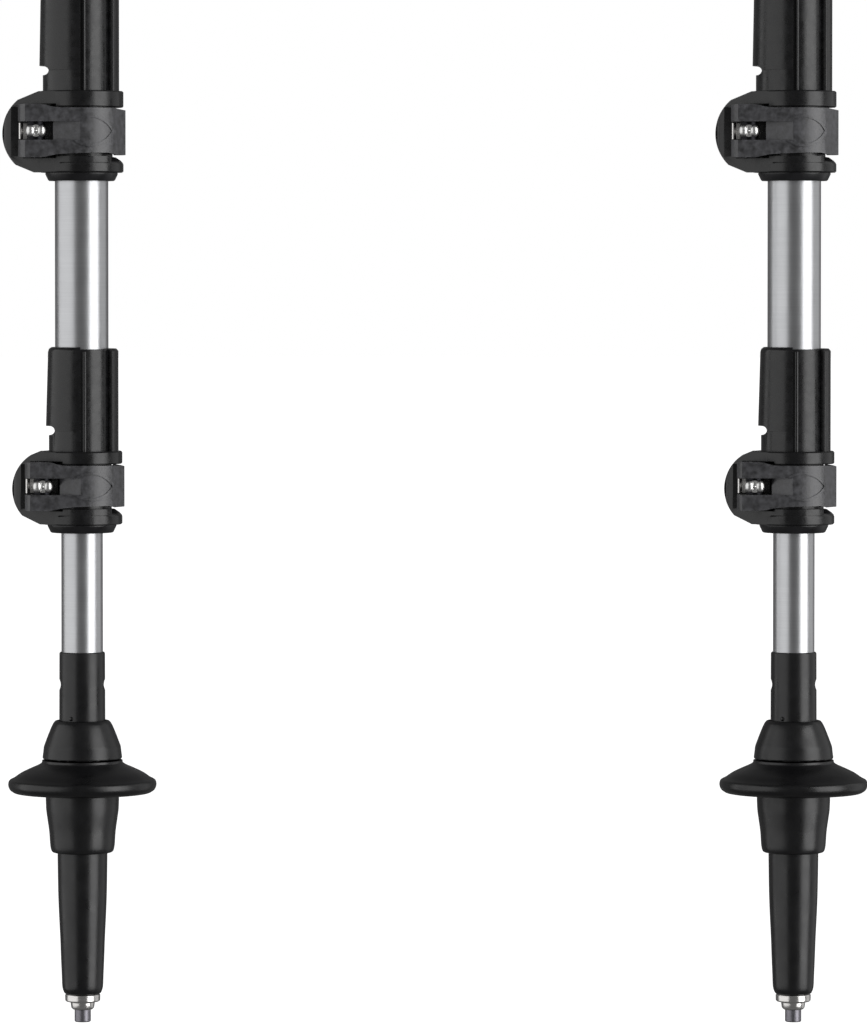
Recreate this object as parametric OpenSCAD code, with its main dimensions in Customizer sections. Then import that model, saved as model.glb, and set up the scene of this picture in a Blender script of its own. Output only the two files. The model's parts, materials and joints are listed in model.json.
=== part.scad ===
// A pair of three-section telescopic trekking poles with external lever clamps.
// Each pole is described once, upright on its tip, with the ears of its clamps towards -X
// and its levers facing -Y. Heights are then counted down from the hold on the left grip.

/* [Pair] */
// Distance between the axes of the two poles
pole_spacing = 240; // [120:5:400]
// Turn of each pole about its own axis, towards the middle of the pair
toe_in = 3.4; // [0:0.1:20]

/* [Tubes] */
// Outer diameter of the lower tube
lower_tube_d = 14; // [11.6:0.1:16.8]
// Wall of all three tubes
tube_wall = 0.8; // [0.6:0.05:1]
// Radial space between lower and middle tube, which a guide fills
lower_gap = 1.2; // [1:0.1:1.5]
// Radial space between middle and upper tube, which a guide fills
upper_gap = 0.5; // [0.4:0.1:0.8]
// Length of the lower tube
lower_tube_len = 520; // [430:5:630]
// Length of the middle tube
middle_tube_len = 480; // [400:5:580]
// Length of the upper tube
upper_tube_len = 446; // [370:5:550]
// Length of lower tube that shows between tip and lower lock
lower_shown = 40.3; // [30:0.1:340]
// Length of middle tube that shows between the locks
middle_shown = 55.9; // [45:0.1:340]
// Radial running clearance of everything that slides or turns
run_gap = 0.1; // [0.05:0.01:0.1]
// Radial clearance of pieces that are glued or pressed together
seat_gap = 0.03; // [0.02:0.01:0.05]

/* [Tip and basket] */
// Diameter of the carbide pin
pin_d = 5.5; // [4.6:0.1:6.2]
// Height of pin that stands out of the ferrule
pin_h = 4.2; // [3.4:0.1:5]
// Height of each of the two steps of the ferrule
ferrule_step_h = 2.7; // [2.2:0.1:3.2]
// Height of the tapered black tip up to its socket
tip_cone_h = 92.4; // [80:0.1:108]
// Height of the socket above the basket
tip_socket_h = 23.1; // [19:0.1:28]
// Radius of the tip cone at its foot
tip_foot_r = 6.9; // [6.6:0.1:7.4]
// Radius of the tip cone inside the basket, over the lower tube's radius
tip_neck_over = 1.4; // [1.2:0.1:2]
// Wall of the socket round the lower tube
socket_wall = 0.65; // [0.55:0.05:0.8]
// Depth of the lower tube in the tip
socket_depth = 58; // [48:1:66]
// Diameter of the basket's disc
basket_d = 50; // [42:0.5:70]
// Thickness of the basket's dished disc
basket_wall = 2.4; // [2:0.1:3]
// Height of the basket's hub from its foot to the rim of the disc
basket_hub_h = 23.3; // [20:0.1:27]
// Wall of the basket's hub at its foot
hub_wall = 1.9; // [1.6:0.1:2.4]
// Height of the collar cone above the basket
collar_h = 13; // [11:0.1:15]

/* [Locks] */
// Height from the foot of a lock to its lever
lock_base_h = 8.9; // [8.2:0.1:10]
// Height of the lower lever
lower_lever_h = 14; // [12.6:0.1:16.8]
// Height of the upper lever
upper_lever_h = 15.5; // [13:0.1:18.6]
// Height of the ring above the lower lever
lower_ring_h = 4.3; // [3.6:0.1:5.2]
// Height of the ring above the upper lever
upper_ring_h = 5.5; // [4.6:0.1:6.6]
// Length of the lower lock's sleeve
lower_sleeve_h = 35; // [30:0.5:42]
// Length of the upper lock's sleeve
upper_sleeve_h = 40; // [34:0.5:48]
// Wall of the lower clamp's liner
lower_liner_wall = 1.5; // [1.2:0.1:1.8]
// Wall of the upper clamp's liner
upper_liner_wall = 0.9; // [0.8:0.1:1.2]
// Wall of the lower clamp body behind its lever
lower_waist_wall = 2; // [1.7:0.1:2.4]
// Wall of the upper clamp body behind its lever
upper_waist_wall = 1.1; // [0.9:0.1:1.4]
// How far the rings stand proud of that wall
ring_proud = 3; // [2.6:0.1:3.6]
// How far the outside of the levers stands proud of that wall
lever_proud = 3.6; // [3.3:0.05:4.3]
// Wall of the lower sleeve round the middle tube
lower_sleeve_wall = 3; // [2.5:0.05:3.6]
// Wall of the upper sleeve round the upper tube
upper_sleeve_wall = 2.05; // [1.7:0.05:2.5]
// Distance from the clamp's wall to the lower tension bolt
lower_bolt_off = 2.5; // [2.4:0.1:3.4]
// Distance from the clamp's wall to the upper tension bolt
upper_bolt_off = 4.1; // [3.4:0.1:4.9]
// Radius of the lower clamp's round ears
lower_ear_r = 13.2; // [12.2:0.1:15]
// Radius of the upper clamp's round ears
upper_ear_r = 14.6; // [13.6:0.1:16.5]
// Width of the slit between the ears
slit_w = 1.8; // [1.4:0.1:2.4]
// Radius of the tension bolt
bolt_r = 2; // [1.6:0.1:2.2]
// Radius of the pivot barrel
barrel_r = 3; // [2.8:0.1:3.2]
// Height of the window in the lower lever
lower_window_h = 5.6; // [4.8:0.1:6.6]
// Height of the window in the upper lever
upper_window_h = 6.2; // [5.2:0.1:7.4]

/* [Grip and strap] */
// Length of the foam grip
grip_len = 118; // [100:1:140]
// Radius of the grip at its waist
grip_r = 14.6; // [13.8:0.1:17]
// Height of the grip's head
head_h = 38; // [36:0.5:44]
// Radius of the strap's pin
strap_pin_r = 2; // [1.6:0.1:2.4]
// Width of the wrist strap
strap_w = 22; // [18:0.5:25]
// Thickness of the wrist strap
strap_t = 2; // [1.6:0.1:2.4]
// Drop of the strap's loop below its pin
strap_drop = 150; // [125:1:180]
// Radius of the strap's loop at the bottom
strap_loop_r = 30; // [25:0.5:36]

/* [Hidden] */
$fn = 96;

// Colours
moulded = [0.07, 0.07, 0.075];
soft_black = [0.1, 0.1, 0.1];
bare_alloy = [0.72, 0.73, 0.75];
steel = [0.6, 0.6, 0.62];
carbide = [0.32, 0.32, 0.34];
webbing = [0.13, 0.13, 0.14];

// Tubes, each inside the next
lower_tube_r = lower_tube_d / 2;
middle_bore_r = lower_tube_r + lower_gap;
middle_tube_r = middle_bore_r + tube_wall;
upper_bore_r = middle_tube_r + upper_gap;
upper_tube_r = upper_bore_r + tube_wall;
eps = 0.01;

// Heights up the pole, counted from the point of the pin
tip_z = pin_h + 2 * ferrule_step_h;
collar_z = tip_z + tip_cone_h - collar_h;
socket_z = tip_z + tip_cone_h;
socket_top_z = socket_z + tip_socket_h;
lower_tube_z = socket_top_z - socket_depth;
lower_lock_z = socket_top_z + lower_shown;
lower_seat_z = lock_base_h + lower_lever_h + lower_ring_h + 0.3;
middle_tube_z = lower_lock_z + lower_seat_z;
upper_lock_z = middle_tube_z + lower_sleeve_h + middle_shown;
upper_seat_z = lock_base_h + upper_lever_h + upper_ring_h + 0.3;
upper_tube_z = upper_lock_z + upper_seat_z;
head_socket = 12;
head_z = upper_tube_z + upper_tube_len - head_socket;
grip_z = head_z - grip_len;
grip_collar_h = 9;
hold_z = grip_z + grip_len / 2;
strap_pin_y = 8;
strap_pin_z = head_z + 24;

// Tip
hub_z = socket_z - 44.6;
rim_z = hub_z + basket_hub_h;
tip_neck_r = lower_tube_r + tip_neck_over;
hub_r = tip_neck_r + hub_wall;
collar_r = tip_neck_r + 4.5;
socket_r = lower_tube_r + socket_wall + run_gap;
pin_shank_r = pin_d / 2 - 0.75;
ferrule_shank_r = 4.2;
scoop_r = 4;

// Clamp mechanism
ear_front = 3;
ear_back = 6.5;
plate_t = 0.8;
cam_r = 6;
cam_lift = 0.35;
cam_gap = 0.15;
barrel_y = -(ear_front + plate_t + cam_gap + cam_r + cam_lift);
lever_wall = 2.9;
block_over = 1.4;
nut_t = 4.4;
nut_r = 4.6;
notch_r = 1.6;

// ---- Small helpers

// Solid of revolution from [radius, height] corners
module turned(corners) {
    rotate_extrude() polygon(corners);
}

// Tube between two radii
module pipe(r_out, r_in, h) {
    difference() {
        cylinder(r = r_out, h = h);
        translate([0, 0, -eps]) cylinder(r = r_in, h = h + 2 * eps);
    }
}

// Two discs with their outer tangents filled in
module linked(p, r, q, s) {
    hull() {
        translate(p) circle(r = r, $fn = 48);
        translate(q) circle(r = s, $fn = 48);
    }
}

// Sector of a disc between two azimuths less than 180 degrees apart
module sector(r, from, to) {
    mid = (from + to) / 2;
    far = r / cos((to - from) / 4);
    polygon([
        [0, 0],
        r * [cos(from), sin(from)],
        far * [cos((from + mid) / 2), sin((from + mid) / 2)],
        far * [cos((to + mid) / 2), sin((to + mid) / 2)],
        r * [cos(to), sin(to)]
    ]);
}

// ---- Tip and basket

module carbide_pin() {
    color(carbide) turned([
        [0, 0.5], [1.1, 0], [pin_d / 2 - 0.4, 0], [pin_d / 2, 0.4], [pin_d / 2, pin_h],
        [pin_shank_r, pin_h], [pin_shank_r, pin_h + 14], [0, pin_h + 14]
    ]);
}

module tip_ferrule() {
    step = ferrule_step_h;
    z = pin_h;
    color(steel) difference() {
        turned([
            [0, z], [3.3, z], [3.9, z + 0.7], [4, z + step], [5.6, z + step], [5.95, z + step + 0.4],
            [5.9, z + 2 * step], [ferrule_shank_r, z + 2 * step],
            [ferrule_shank_r, z + 2 * step + 18], [0, z + 2 * step + 18]
        ]);
        translate([0, 0, z - eps]) cylinder(r = pin_shank_r + seat_gap, h = 14.5);
    }
}

module tip_body() {
    z = tip_z;
    color(moulded) difference() {
        union() {
            turned([
                [0, z], [tip_foot_r - 1, z], [tip_foot_r - 0.3, z + 0.7], [tip_foot_r, z + 2.2],
                [tip_foot_r + 0.65, z + 18.4], [tip_foot_r + 1.3, z + 33], [tip_neck_r, z + 47],
                [tip_neck_r, socket_z - 1], [0, socket_z - 1]
            ]);
            translate([0, 0, socket_z - 1 - eps])
                cylinder(r1 = socket_r + 0.05, r2 = socket_r - 0.05, h = tip_socket_h + 1 + eps);
        }
        translate([0, 0, z - eps]) cylinder(r = ferrule_shank_r + seat_gap, h = 19);
        translate([0, 0, lower_tube_z]) cylinder(r = lower_tube_r + seat_gap, h = socket_depth + 1);
        for (side = [-1, 1])
            translate([side * (socket_r + scoop_r - 0.5), 0, socket_z + 12.1])
                rotate([90, 0, 0]) cylinder(r = scoop_r, h = 30, center = true);
    }
}

module basket() {
    rim_r = basket_d / 2;
    color(moulded) turned([
        [tip_neck_r + seat_gap, hub_z], [hub_r - 0.3, hub_z], [hub_r + 0.3, hub_z + 1.6],
        [hub_r + 0.8, hub_z + 7], [hub_r + 1.4, hub_z + 11], [hub_r + 1.8, hub_z + 14],
        [hub_r + 1.8, rim_z + 2.4 - basket_wall],
        [rim_r * 0.68, rim_z + 3.4 - basket_wall / 2],
        [rim_r * 0.9, rim_z + 0.6 - basket_wall / 2], [rim_r - 1.5, rim_z - 1.6],
        [rim_r - 0.5, rim_z - 1.2], [rim_r, rim_z], [rim_r - 0.3, rim_z + 1.1],
        [rim_r - 1.6, rim_z + 2.5], [rim_r - 4, rim_z + 4], [rim_r * 0.7, rim_z + 5.5],
        [rim_r * 0.59, rim_z + 6.8], [collar_r + 0.2, rim_z + 7.6],
        [collar_r + 0.2, collar_z - 0.2], [tip_neck_r + seat_gap, collar_z - 0.2]
    ]);
}

module basket_collar() {
    z = collar_z;
    color(moulded) turned([
        [tip_neck_r + seat_gap, z], [collar_r, z], [collar_r - 0.2, z + 1.5],
        [collar_r - 0.5, z + 4], [collar_r - 1, z + 5.4], [collar_r - 3.5, z + 12],
        [collar_r - 4.3, z + collar_h - 0.2], [tip_neck_r + 0.15, z + collar_h],
        [tip_neck_r + seat_gap, z + collar_h]
    ]);
}

// ---- Tubes

module telescoping_tube(r, z, len) {
    color(bare_alloy) translate([0, 0, z]) pipe(r, r - tube_wall, len);
}

// Plug in the top of a tube: a spigot below and a ribbed collar that fills the next tube
module tube_guide(r, gap, z) {
    spigot_r = r - tube_wall - seat_gap;
    collar_out_r = r + gap - run_gap;
    h = 16;
    color(soft_black) difference() {
        union() {
            translate([0, 0, z - 20]) cylinder(r = spigot_r, h = 20 + eps);
            translate([0, 0, z]) cylinder(r = collar_out_r - 0.2, h = h);
            for (n = [0, 1, 2])
                translate([0, 0, z + n * 6.5]) cylinder(r = collar_out_r, h = 3);
        }
        translate([0, 0, z - 21]) cylinder(r = spigot_r - 1.6, h = h + 22);
    }
}

// ---- Lock: the sizes of one lock are the $-values that lower_lock() or upper_lock() sets

module lower_lock() {
    $tube = lower_tube_r;
    $outer = middle_tube_r;
    $liner = lower_liner_wall;
    $lever_h = lower_lever_h;
    $window_h = lower_window_h;
    $lip = 2.1;
    $ring_h = lower_ring_h;
    $sleeve_h = lower_sleeve_h;
    $bolt_off = lower_bolt_off;
    $ear_r = lower_ear_r;
    $ear_over = lower_ear_r - 2.8;
    $ear_drop = 1.2;
    $ear_foot = [2.9, 25.5];
    $waist_wall = lower_waist_wall;
    $sleeve_wall = lower_sleeve_wall;
    $left_over = -0.85;
    $shell_foot = 1;
    $shell_top = 0.2;
    translate([0, 0, lower_lock_z]) children();
}

module upper_lock() {
    $tube = middle_tube_r;
    $outer = upper_tube_r;
    $liner = upper_liner_wall;
    $lever_h = upper_lever_h;
    $window_h = upper_window_h;
    $lip = 1.3;
    $ring_h = upper_ring_h;
    $sleeve_h = upper_sleeve_h;
    $bolt_off = upper_bolt_off;
    $ear_r = upper_ear_r;
    $ear_over = upper_ear_r - 3.2;
    $ear_drop = 0.7;
    $ear_foot = [2.3, 22.5];
    $waist_wall = upper_waist_wall;
    $sleeve_wall = upper_sleeve_wall;
    $left_over = 0.65;
    $shell_foot = 1.15;
    $shell_top = 0.55;
    translate([0, 0, upper_lock_z]) children();
}

function liner_r() = $tube + run_gap + $liner;
function waist_r() = liner_r() + seat_gap + $waist_wall;
function ring_r() = waist_r() + ring_proud;
function lever_r() = waist_r() + lever_proud;
function sleeve_r() = $outer + $sleeve_wall;
function left_r() = sleeve_r() + $left_over;
function bolt_x() = -(waist_r() + $bolt_off);
function lever_mid() = lock_base_h + $lever_h / 2;
function ring_z() = lock_base_h + $lever_h + 0.3;
function seat_z() = ring_z() + $ring_h;
function reach() = -bolt_x() + $ear_over;
function notch_z() = seat_z() + 6.9;

// Plan of the ears, which run tangentially out of the rings
module ear_plan() {
    corner = 3;
    x = corner - reach();
    hull() {
        circle(r = ring_r() - 0.3, $fn = 48);
        translate([x, corner - ear_front]) circle(r = corner, $fn = 24);
        translate([x, ear_back - corner]) circle(r = corner, $fn = 24);
    }
}

// Side outline of the ears: a disc whose foot and top run in to the rings on two slopes
module ear_side() {
    centre = [$ear_r - reach(), lever_mid() - $ear_drop];
    difference() {
        union() {
            translate(centre) circle(r = $ear_r);
            translate([centre[0], 3]) square([10 - centre[0], seat_z() - 3.2]);
        }
        translate([-ring_r() - 0.3, $ear_foot[0]]) rotate(-$ear_foot[1])
            translate([-30, -20]) square([50, 20]);
        translate([-ring_r(), seat_z() - 0.1]) rotate(22) translate([-30, 0]) square([50, 20]);
        translate([-50, seat_z() - 0.2]) square([100, 20]);
        translate([-50, -20]) square([100, 23]);
    }
}

// Both ears in one block, with the front left open where the lever swings
module ears() {
    gap_h = ring_z() - 8.2;
    difference() {
        intersection() {
            translate([0, 0, 1]) linear_extrude(height = seat_z() + 1) ear_plan();
            translate([0, 30, 0]) rotate([90, 0, 0]) linear_extrude(height = 60) ear_side();
        }
        translate([-60, -60, 8.2]) cube([90, 60 - ear_front, gap_h]);
        translate([-2, -60, 8.2]) cube([60, 120, gap_h]);
        translate([bolt_x(), ear_back, lever_mid()]) rotate([-90, 0, 0]) cylinder(r = nut_r + 0.6, h = 20);
    }
}

// Sleeve that holds the larger tube: a round core, a thick shell on the left that flares
// downwards to the relief notch, and a flange on the right
module sleeve() {
    top = seat_z();
    shell_h = top + $sleeve_h - notch_z();
    translate([0, 0, top - 0.5]) cylinder(r = sleeve_r() - 0.9, h = $sleeve_h - 0.2);
    intersection() {
        union() {
            translate([0, 0, top - 0.5]) cylinder(r = left_r(), h = $sleeve_h - 2);
            translate([0, 0, notch_z()])
                cylinder(r1 = left_r() + $shell_foot, r2 = left_r() + $shell_top, h = shell_h);
        }
        translate([-40.5, -40, 0]) cube([40, 80, 200]);
    }
    intersection() {
        translate([0, 0, top - 0.5]) cylinder(r = sleeve_r(), h = $sleeve_h + 0.2);
        linear_extrude(height = 200) sector(60, -33, 92);
    }
}

module clamp_body() {
    w = waist_r();
    r = ring_r();
    top = seat_z();
    bore = liner_r() + seat_gap;
    notch_x = notch_r - left_r() - 1.2;
    color(moulded) difference() {
        union() {
            turned([
                [bore - 1, 2.8], [r - 0.8, 2.8], [r, 3.6], [r, 5.6], [r - 0.7, 6.9], [w + 0.4, 8.2],
                [w, 8.2], [w, ring_z()], [r, ring_z()], [r, top], [bore - 1, top]
            ]);
            ears();
            sleeve();
        }
        // bores for the liner and for the tube that the sleeve holds
        translate([0, 0, 2]) cylinder(r = bore, h = top);
        translate([0, 0, top]) cylinder(r = $outer + seat_gap, h = $sleeve_h + 1);
        // pocket round the lever's hinge block, which is taller than the gap between the rings
        translate([bolt_x(), barrel_y, lock_base_h - block_over])
            cylinder(r = cam_r + 0.8, h = $lever_h + 2 * block_over);
        // slit between the ears up to the relief notch
        translate([-60, -slit_w / 2, -1]) cube([60, slit_w, notch_z() + 1]);
        translate([notch_x, 0, notch_z()]) rotate([90, 0, 0])
            cylinder(r = notch_r, h = 60, center = true);
        translate([notch_x - 20, -30, notch_z() - notch_r]) cube([20, 60, 2 * notch_r]);
        // bolt hole through both ears
        translate([bolt_x(), -20, lever_mid()]) rotate([-90, 0, 0])
            cylinder(r = bolt_r + run_gap, h = 40);
    }
}

// Flanged split bush between clamp and tube
module clamp_liner() {
    r = liner_r();
    flange = r + $lip;
    color(soft_black) difference() {
        turned([
            [$tube + run_gap, 0], [flange, 0], [flange + 0.7, 1.3], [flange + 0.8, 2.5], [r, 2.5],
            [r, seat_z() - 0.5], [$tube + run_gap, seat_z() - 0.5]
        ]);
        translate([-60, -slit_w / 2, -1]) cube([60, slit_w, 100]);
    }
}

// Cam end of the lever: round towards the plate, flat on its outer side
module cam(r, h) {
    bx = bolt_x();
    intersection() {
        translate([bx, barrel_y + cam_lift, 0]) cylinder(r = cam_r, h = h);
        translate([bx - 20, -r + 0.05, -1]) cube([40, 60, h + 2]);
    }
}

module lever() {
    r = lever_r();
    inner = r - lever_wall;
    bx = bolt_x();
    z = lock_base_h;
    block_h = $lever_h + 2 * block_over - 0.6;
    color(moulded) difference() {
        union() {
            // the hinge block is a little taller than the arm
            translate([0, 0, z - block_over + 0.3]) intersection() {
                cam(r, block_h);
                translate([bx - 20, -60, 0]) cube([23.2, 120, 60]);
            }
            translate([0, 0, z]) cam(r, $lever_h);
            translate([bx, -r + 0.05, z]) cube([-bx + 0.5, lever_wall - 0.05, $lever_h]);
            translate([0, 0, z]) intersection() {
                pipe(r, inner, $lever_h);
                linear_extrude(height = 60) union() {
                    sector(60, -90, 0);
                    sector(60, -4, 24);
                }
            }
            // finger tab: the end of the arm hangs a little lower
            translate([0, 0, z - 0.3]) intersection() {
                pipe(r + 0.1, inner + 0.4, $lever_h + 0.1);
                linear_extrude(height = 60) sector(60, -42, 23);
            }
            translate([0, 0, lever_mid()]) pad(r);
        }
        translate([bx, barrel_y, 0]) cylinder(r = barrel_r + 0.05, h = 60);
        // window, open to the hinge end so that the bolt can pass as the lever turns
        translate([bx, barrel_y, lever_mid() - $window_h / 2]) cylinder(r = cam_r + 1.3, h = $window_h);
        translate([bx, -r - 1, lever_mid() - $window_h / 2]) cube([-bx + 3.5, 2.2, $window_h]);
    }
}

// Lens-shaped raised pad on the front right of the arm
module pad(r) {
    intersection() {
        difference() {
            cylinder(r = r + 0.4, h = 20, center = true);
            cylinder(r = r - 0.5, h = 21, center = true);
        }
        rotate([0, 0, -63]) rotate([0, 90, 0]) linear_extrude(height = 40) intersection() {
            translate([7.5, 0]) circle(r = 11);
            translate([-7.5, 0]) circle(r = 11);
        }
    }
}

module pivot_barrel() {
    h = $lever_h + 2 * block_over - 1.4;
    color(steel) translate([bolt_x(), barrel_y, lever_mid()]) difference() {
        cylinder(r = barrel_r, h = h, center = true);
        rotate([90, 0, 0]) cylinder(r = bolt_r + seat_gap, h = 20, center = true);
    }
}

// Bolt through both ears and the barrel; its domed front end has a screwdriver slot
module tension_bolt() {
    front = barrel_y - barrel_r;
    back = ear_back + nut_t + 1;
    color(steel) translate([bolt_x(), 0, lever_mid()]) difference() {
        union() {
            rotate([-90, 0, 0]) translate([0, 0, front]) cylinder(r = bolt_r, h = back - front);
            rotate([-90, 0, 0]) translate([0, 0, front - 0.7 + eps]) cylinder(r1 = 2.1, r2 = 2.7, h = 0.7);
        }
        translate([0, front - 0.7, 0]) cube([0.7, 1.3, 6], center = true);
    }
}

// Steel plate on the front ear, turned up at its outer edge
module pressure_plate() {
    h = $window_h - 0.8;
    y = ear_front + plate_t;
    x = bolt_x();
    color(steel) translate([x, 0, lever_mid()]) difference() {
        union() {
            translate([-5.6, -y, -h / 2]) cube([8.4, plate_t - 0.05, h]);
            translate([-5.6, -y - 3.2, -h / 2]) cube([0.8, 3.3, h]);
        }
        rotate([90, 0, 0]) cylinder(r = bolt_r + run_gap, h = 20);
    }
}

module adjuster_nut() {
    n = 18;
    color(steel) translate([bolt_x(), ear_back + 0.1, lever_mid()]) rotate([-90, 0, 0]) difference() {
        union() {
            cylinder(r = nut_r - 0.6, h = nut_t);
            translate([0, 0, 0.9]) cylinder(r = nut_r, h = nut_t - 1.8);
        }
        for (k = [0 : n - 1])
            rotate([0, 0, k * 360 / n]) translate([nut_r + 0.35, 0, -1]) cylinder(r = 0.7, h = 8, $fn = 16);
        translate([0, 0, -1]) cylinder(r = bolt_r + 0.06, h = 8);
    }
}

// ---- Grip and strap

module grip_collar() {
    z = grip_z - grip_collar_h;
    r = upper_tube_r;
    color(moulded) turned([
        [r + seat_gap, z], [r + 2, z], [r + 2.9, z + 1], [grip_r - 0.4, z + 6],
        [grip_r - 0.2, z + grip_collar_h - 0.05], [r + seat_gap, z + grip_collar_h - 0.05]
    ]);
}

module grip() {
    z = grip_z;
    len = grip_len;
    swell = [0.4, -0.1, 0.9, 1.6, 1.1, -0.2, -0.4, 0.5, 0.6];
    color(soft_black) difference() {
        rotate_extrude() polygon(concat(
            [[0, z]],
            [for (n = [0 : 8]) [grip_r + swell[n], z + n * len / 8]],
            [[0, z + len]]
        ));
        translate([0, 0, z - 1]) cylinder(r = upper_tube_r + seat_gap, h = len + 2);
    }
}

module grip_head() {
    z = head_z + 0.05;
    slot_w = strap_w + 2;
    eye_r = strap_pin_r + strap_t + 1.4;
    color(moulded) difference() {
        hull() {
            translate([0, 0, z]) cylinder(r = grip_r + 0.6, h = 2, $fn = 48);
            translate([0, 0, z + 14]) cylinder(r = grip_r + 3, h = 5, $fn = 48);
            translate([0, -7, z + head_h - 15]) sphere(r = 14, $fn = 40);
            translate([0, 4, z + head_h - 15.5]) sphere(r = 15, $fn = 40);
        }
        translate([0, 0, z - 1]) cylinder(r = upper_tube_r + seat_gap, h = head_socket + 1);
        translate([0, strap_pin_y, strap_pin_z]) {
            // slot in which the strap swings from hanging down to nearly straight up
            translate([-slot_w / 2, 0, 0]) rotate([0, 90, 0]) cylinder(r = eye_r, h = slot_w);
            translate([-slot_w / 2, 0, 0]) rotate([90, 0, 90]) linear_extrude(height = slot_w)
                polygon([[-4.6, 1.2], [3.6, 32], [45, 32], [45, -22], [0.8, -4.7]]);
            translate([-20, 0, 0]) rotate([0, 90, 0]) cylinder(r = strap_pin_r + seat_gap, h = 40);
        }
    }
}

module strap_pin() {
    len = strap_w + 9;
    color(steel) translate([-len / 2, strap_pin_y, strap_pin_z]) rotate([0, 90, 0])
        cylinder(r = strap_pin_r, h = len);
}

// Loop that hangs from an eye round the pin, as an outline in Y and Z
module wrist_strap() {
    eye = [strap_pin_y, strap_pin_z];
    knee = eye + [15.5, -3];
    low = [22 + strap_loop_r, strap_pin_z - strap_drop + strap_loop_r];
    knee_r = 4.2;
    color(webbing) translate([-strap_w / 2, 0, 0]) rotate([90, 0, 90])
        linear_extrude(height = strap_w) difference() {
            union() {
                linked(eye, strap_pin_r + strap_t + 0.15, knee, knee_r);
                linked(low, strap_loop_r, knee, knee_r);
            }
            translate(eye) circle(r = strap_pin_r + 0.15);
            linked(low, strap_loop_r - strap_t, knee, knee_r - strap_t);
        }
}

// ---- One pole, piece by piece

module piece(name) {
    if (name == "carbide_pin") carbide_pin();
    if (name == "tip_ferrule") tip_ferrule();
    if (name == "tip_body") tip_body();
    if (name == "basket") basket();
    if (name == "basket_collar") basket_collar();
    if (name == "lower_tube") telescoping_tube(lower_tube_r, lower_tube_z, lower_tube_len);
    if (name == "lower_tube_guide")
        tube_guide(lower_tube_r, lower_gap, lower_tube_z + lower_tube_len);
    if (name == "middle_tube") telescoping_tube(middle_tube_r, middle_tube_z, middle_tube_len);
    if (name == "middle_tube_guide")
        tube_guide(middle_tube_r, upper_gap, middle_tube_z + middle_tube_len);
    if (name == "upper_tube") telescoping_tube(upper_tube_r, upper_tube_z, upper_tube_len);
    if (name == "grip_collar") grip_collar();
    if (name == "grip") grip();
    if (name == "grip_head") grip_head();
    if (name == "strap_pin") strap_pin();
    if (name == "wrist_strap") wrist_strap();
}

// One piece of the lock that surrounds it
module lock_piece(name) {
    if (name == "clamp_body") clamp_body();
    if (name == "clamp_liner") clamp_liner();
    if (name == "lever") lever();
    if (name == "pivot_barrel") pivot_barrel();
    if (name == "tension_bolt") tension_bolt();
    if (name == "pressure_plate") pressure_plate();
    if (name == "adjuster_nut") adjuster_nut();
}

module left_pole() {
    translate([0, 0, -hold_z]) rotate([0, 0, toe_in]) children();
}

module right_pole() {
    translate([pole_spacing, 0, -hold_z]) rotate([0, 0, -toe_in]) children();
}

left_pole() piece("carbide_pin");  // left_carbide_pin
left_pole() piece("tip_ferrule");  // left_tip_ferrule
left_pole() piece("tip_body");  // left_tip_body
left_pole() piece("basket");  // left_basket
left_pole() piece("basket_collar");  // left_basket_collar
left_pole() piece("lower_tube");  // left_lower_tube
left_pole() piece("lower_tube_guide");  // left_lower_tube_guide
left_pole() lower_lock() lock_piece("clamp_body");  // left_lower_clamp_body
left_pole() lower_lock() lock_piece("clamp_liner");  // left_lower_clamp_liner
left_pole() lower_lock() lock_piece("lever");  // left_lower_lever
left_pole() lower_lock() lock_piece("pivot_barrel");  // left_lower_pivot_barrel
left_pole() lower_lock() lock_piece("tension_bolt");  // left_lower_tension_bolt
left_pole() lower_lock() lock_piece("pressure_plate");  // left_lower_pressure_plate
left_pole() lower_lock() lock_piece("adjuster_nut");  // left_lower_adjuster_nut
left_pole() piece("middle_tube");  // left_middle_tube
left_pole() piece("middle_tube_guide");  // left_middle_tube_guide
left_pole() upper_lock() lock_piece("clamp_body");  // left_upper_clamp_body
left_pole() upper_lock() lock_piece("clamp_liner");  // left_upper_clamp_liner
left_pole() upper_lock() lock_piece("lever");  // left_upper_lever
left_pole() upper_lock() lock_piece("pivot_barrel");  // left_upper_pivot_barrel
left_pole() upper_lock() lock_piece("tension_bolt");  // left_upper_tension_bolt
left_pole() upper_lock() lock_piece("pressure_plate");  // left_upper_pressure_plate
left_pole() upper_lock() lock_piece("adjuster_nut");  // left_upper_adjuster_nut
left_pole() piece("upper_tube");  // left_upper_tube
left_pole() piece("grip_collar");  // left_grip_collar
left_pole() piece("grip");  // left_grip
left_pole() piece("grip_head");  // left_grip_head
left_pole() piece("strap_pin");  // left_strap_pin
left_pole() piece("wrist_strap");  // left_wrist_strap
right_pole() piece("carbide_pin");  // right_carbide_pin
right_pole() piece("tip_ferrule");  // right_tip_ferrule
right_pole() piece("tip_body");  // right_tip_body
right_pole() piece("basket");  // right_basket
right_pole() piece("basket_collar");  // right_basket_collar
right_pole() piece("lower_tube");  // right_lower_tube
right_pole() piece("lower_tube_guide");  // right_lower_tube_guide
right_pole() lower_lock() lock_piece("clamp_body");  // right_lower_clamp_body
right_pole() lower_lock() lock_piece("clamp_liner");  // right_lower_clamp_liner
right_pole() lower_lock() lock_piece("lever");  // right_lower_lever
right_pole() lower_lock() lock_piece("pivot_barrel");  // right_lower_pivot_barrel
right_pole() lower_lock() lock_piece("tension_bolt");  // right_lower_tension_bolt
right_pole() lower_lock() lock_piece("pressure_plate");  // right_lower_pressure_plate
right_pole() lower_lock() lock_piece("adjuster_nut");  // right_lower_adjuster_nut
right_pole() piece("middle_tube");  // right_middle_tube
right_pole() piece("middle_tube_guide");  // right_middle_tube_guide
right_pole() upper_lock() lock_piece("clamp_body");  // right_upper_clamp_body
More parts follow.
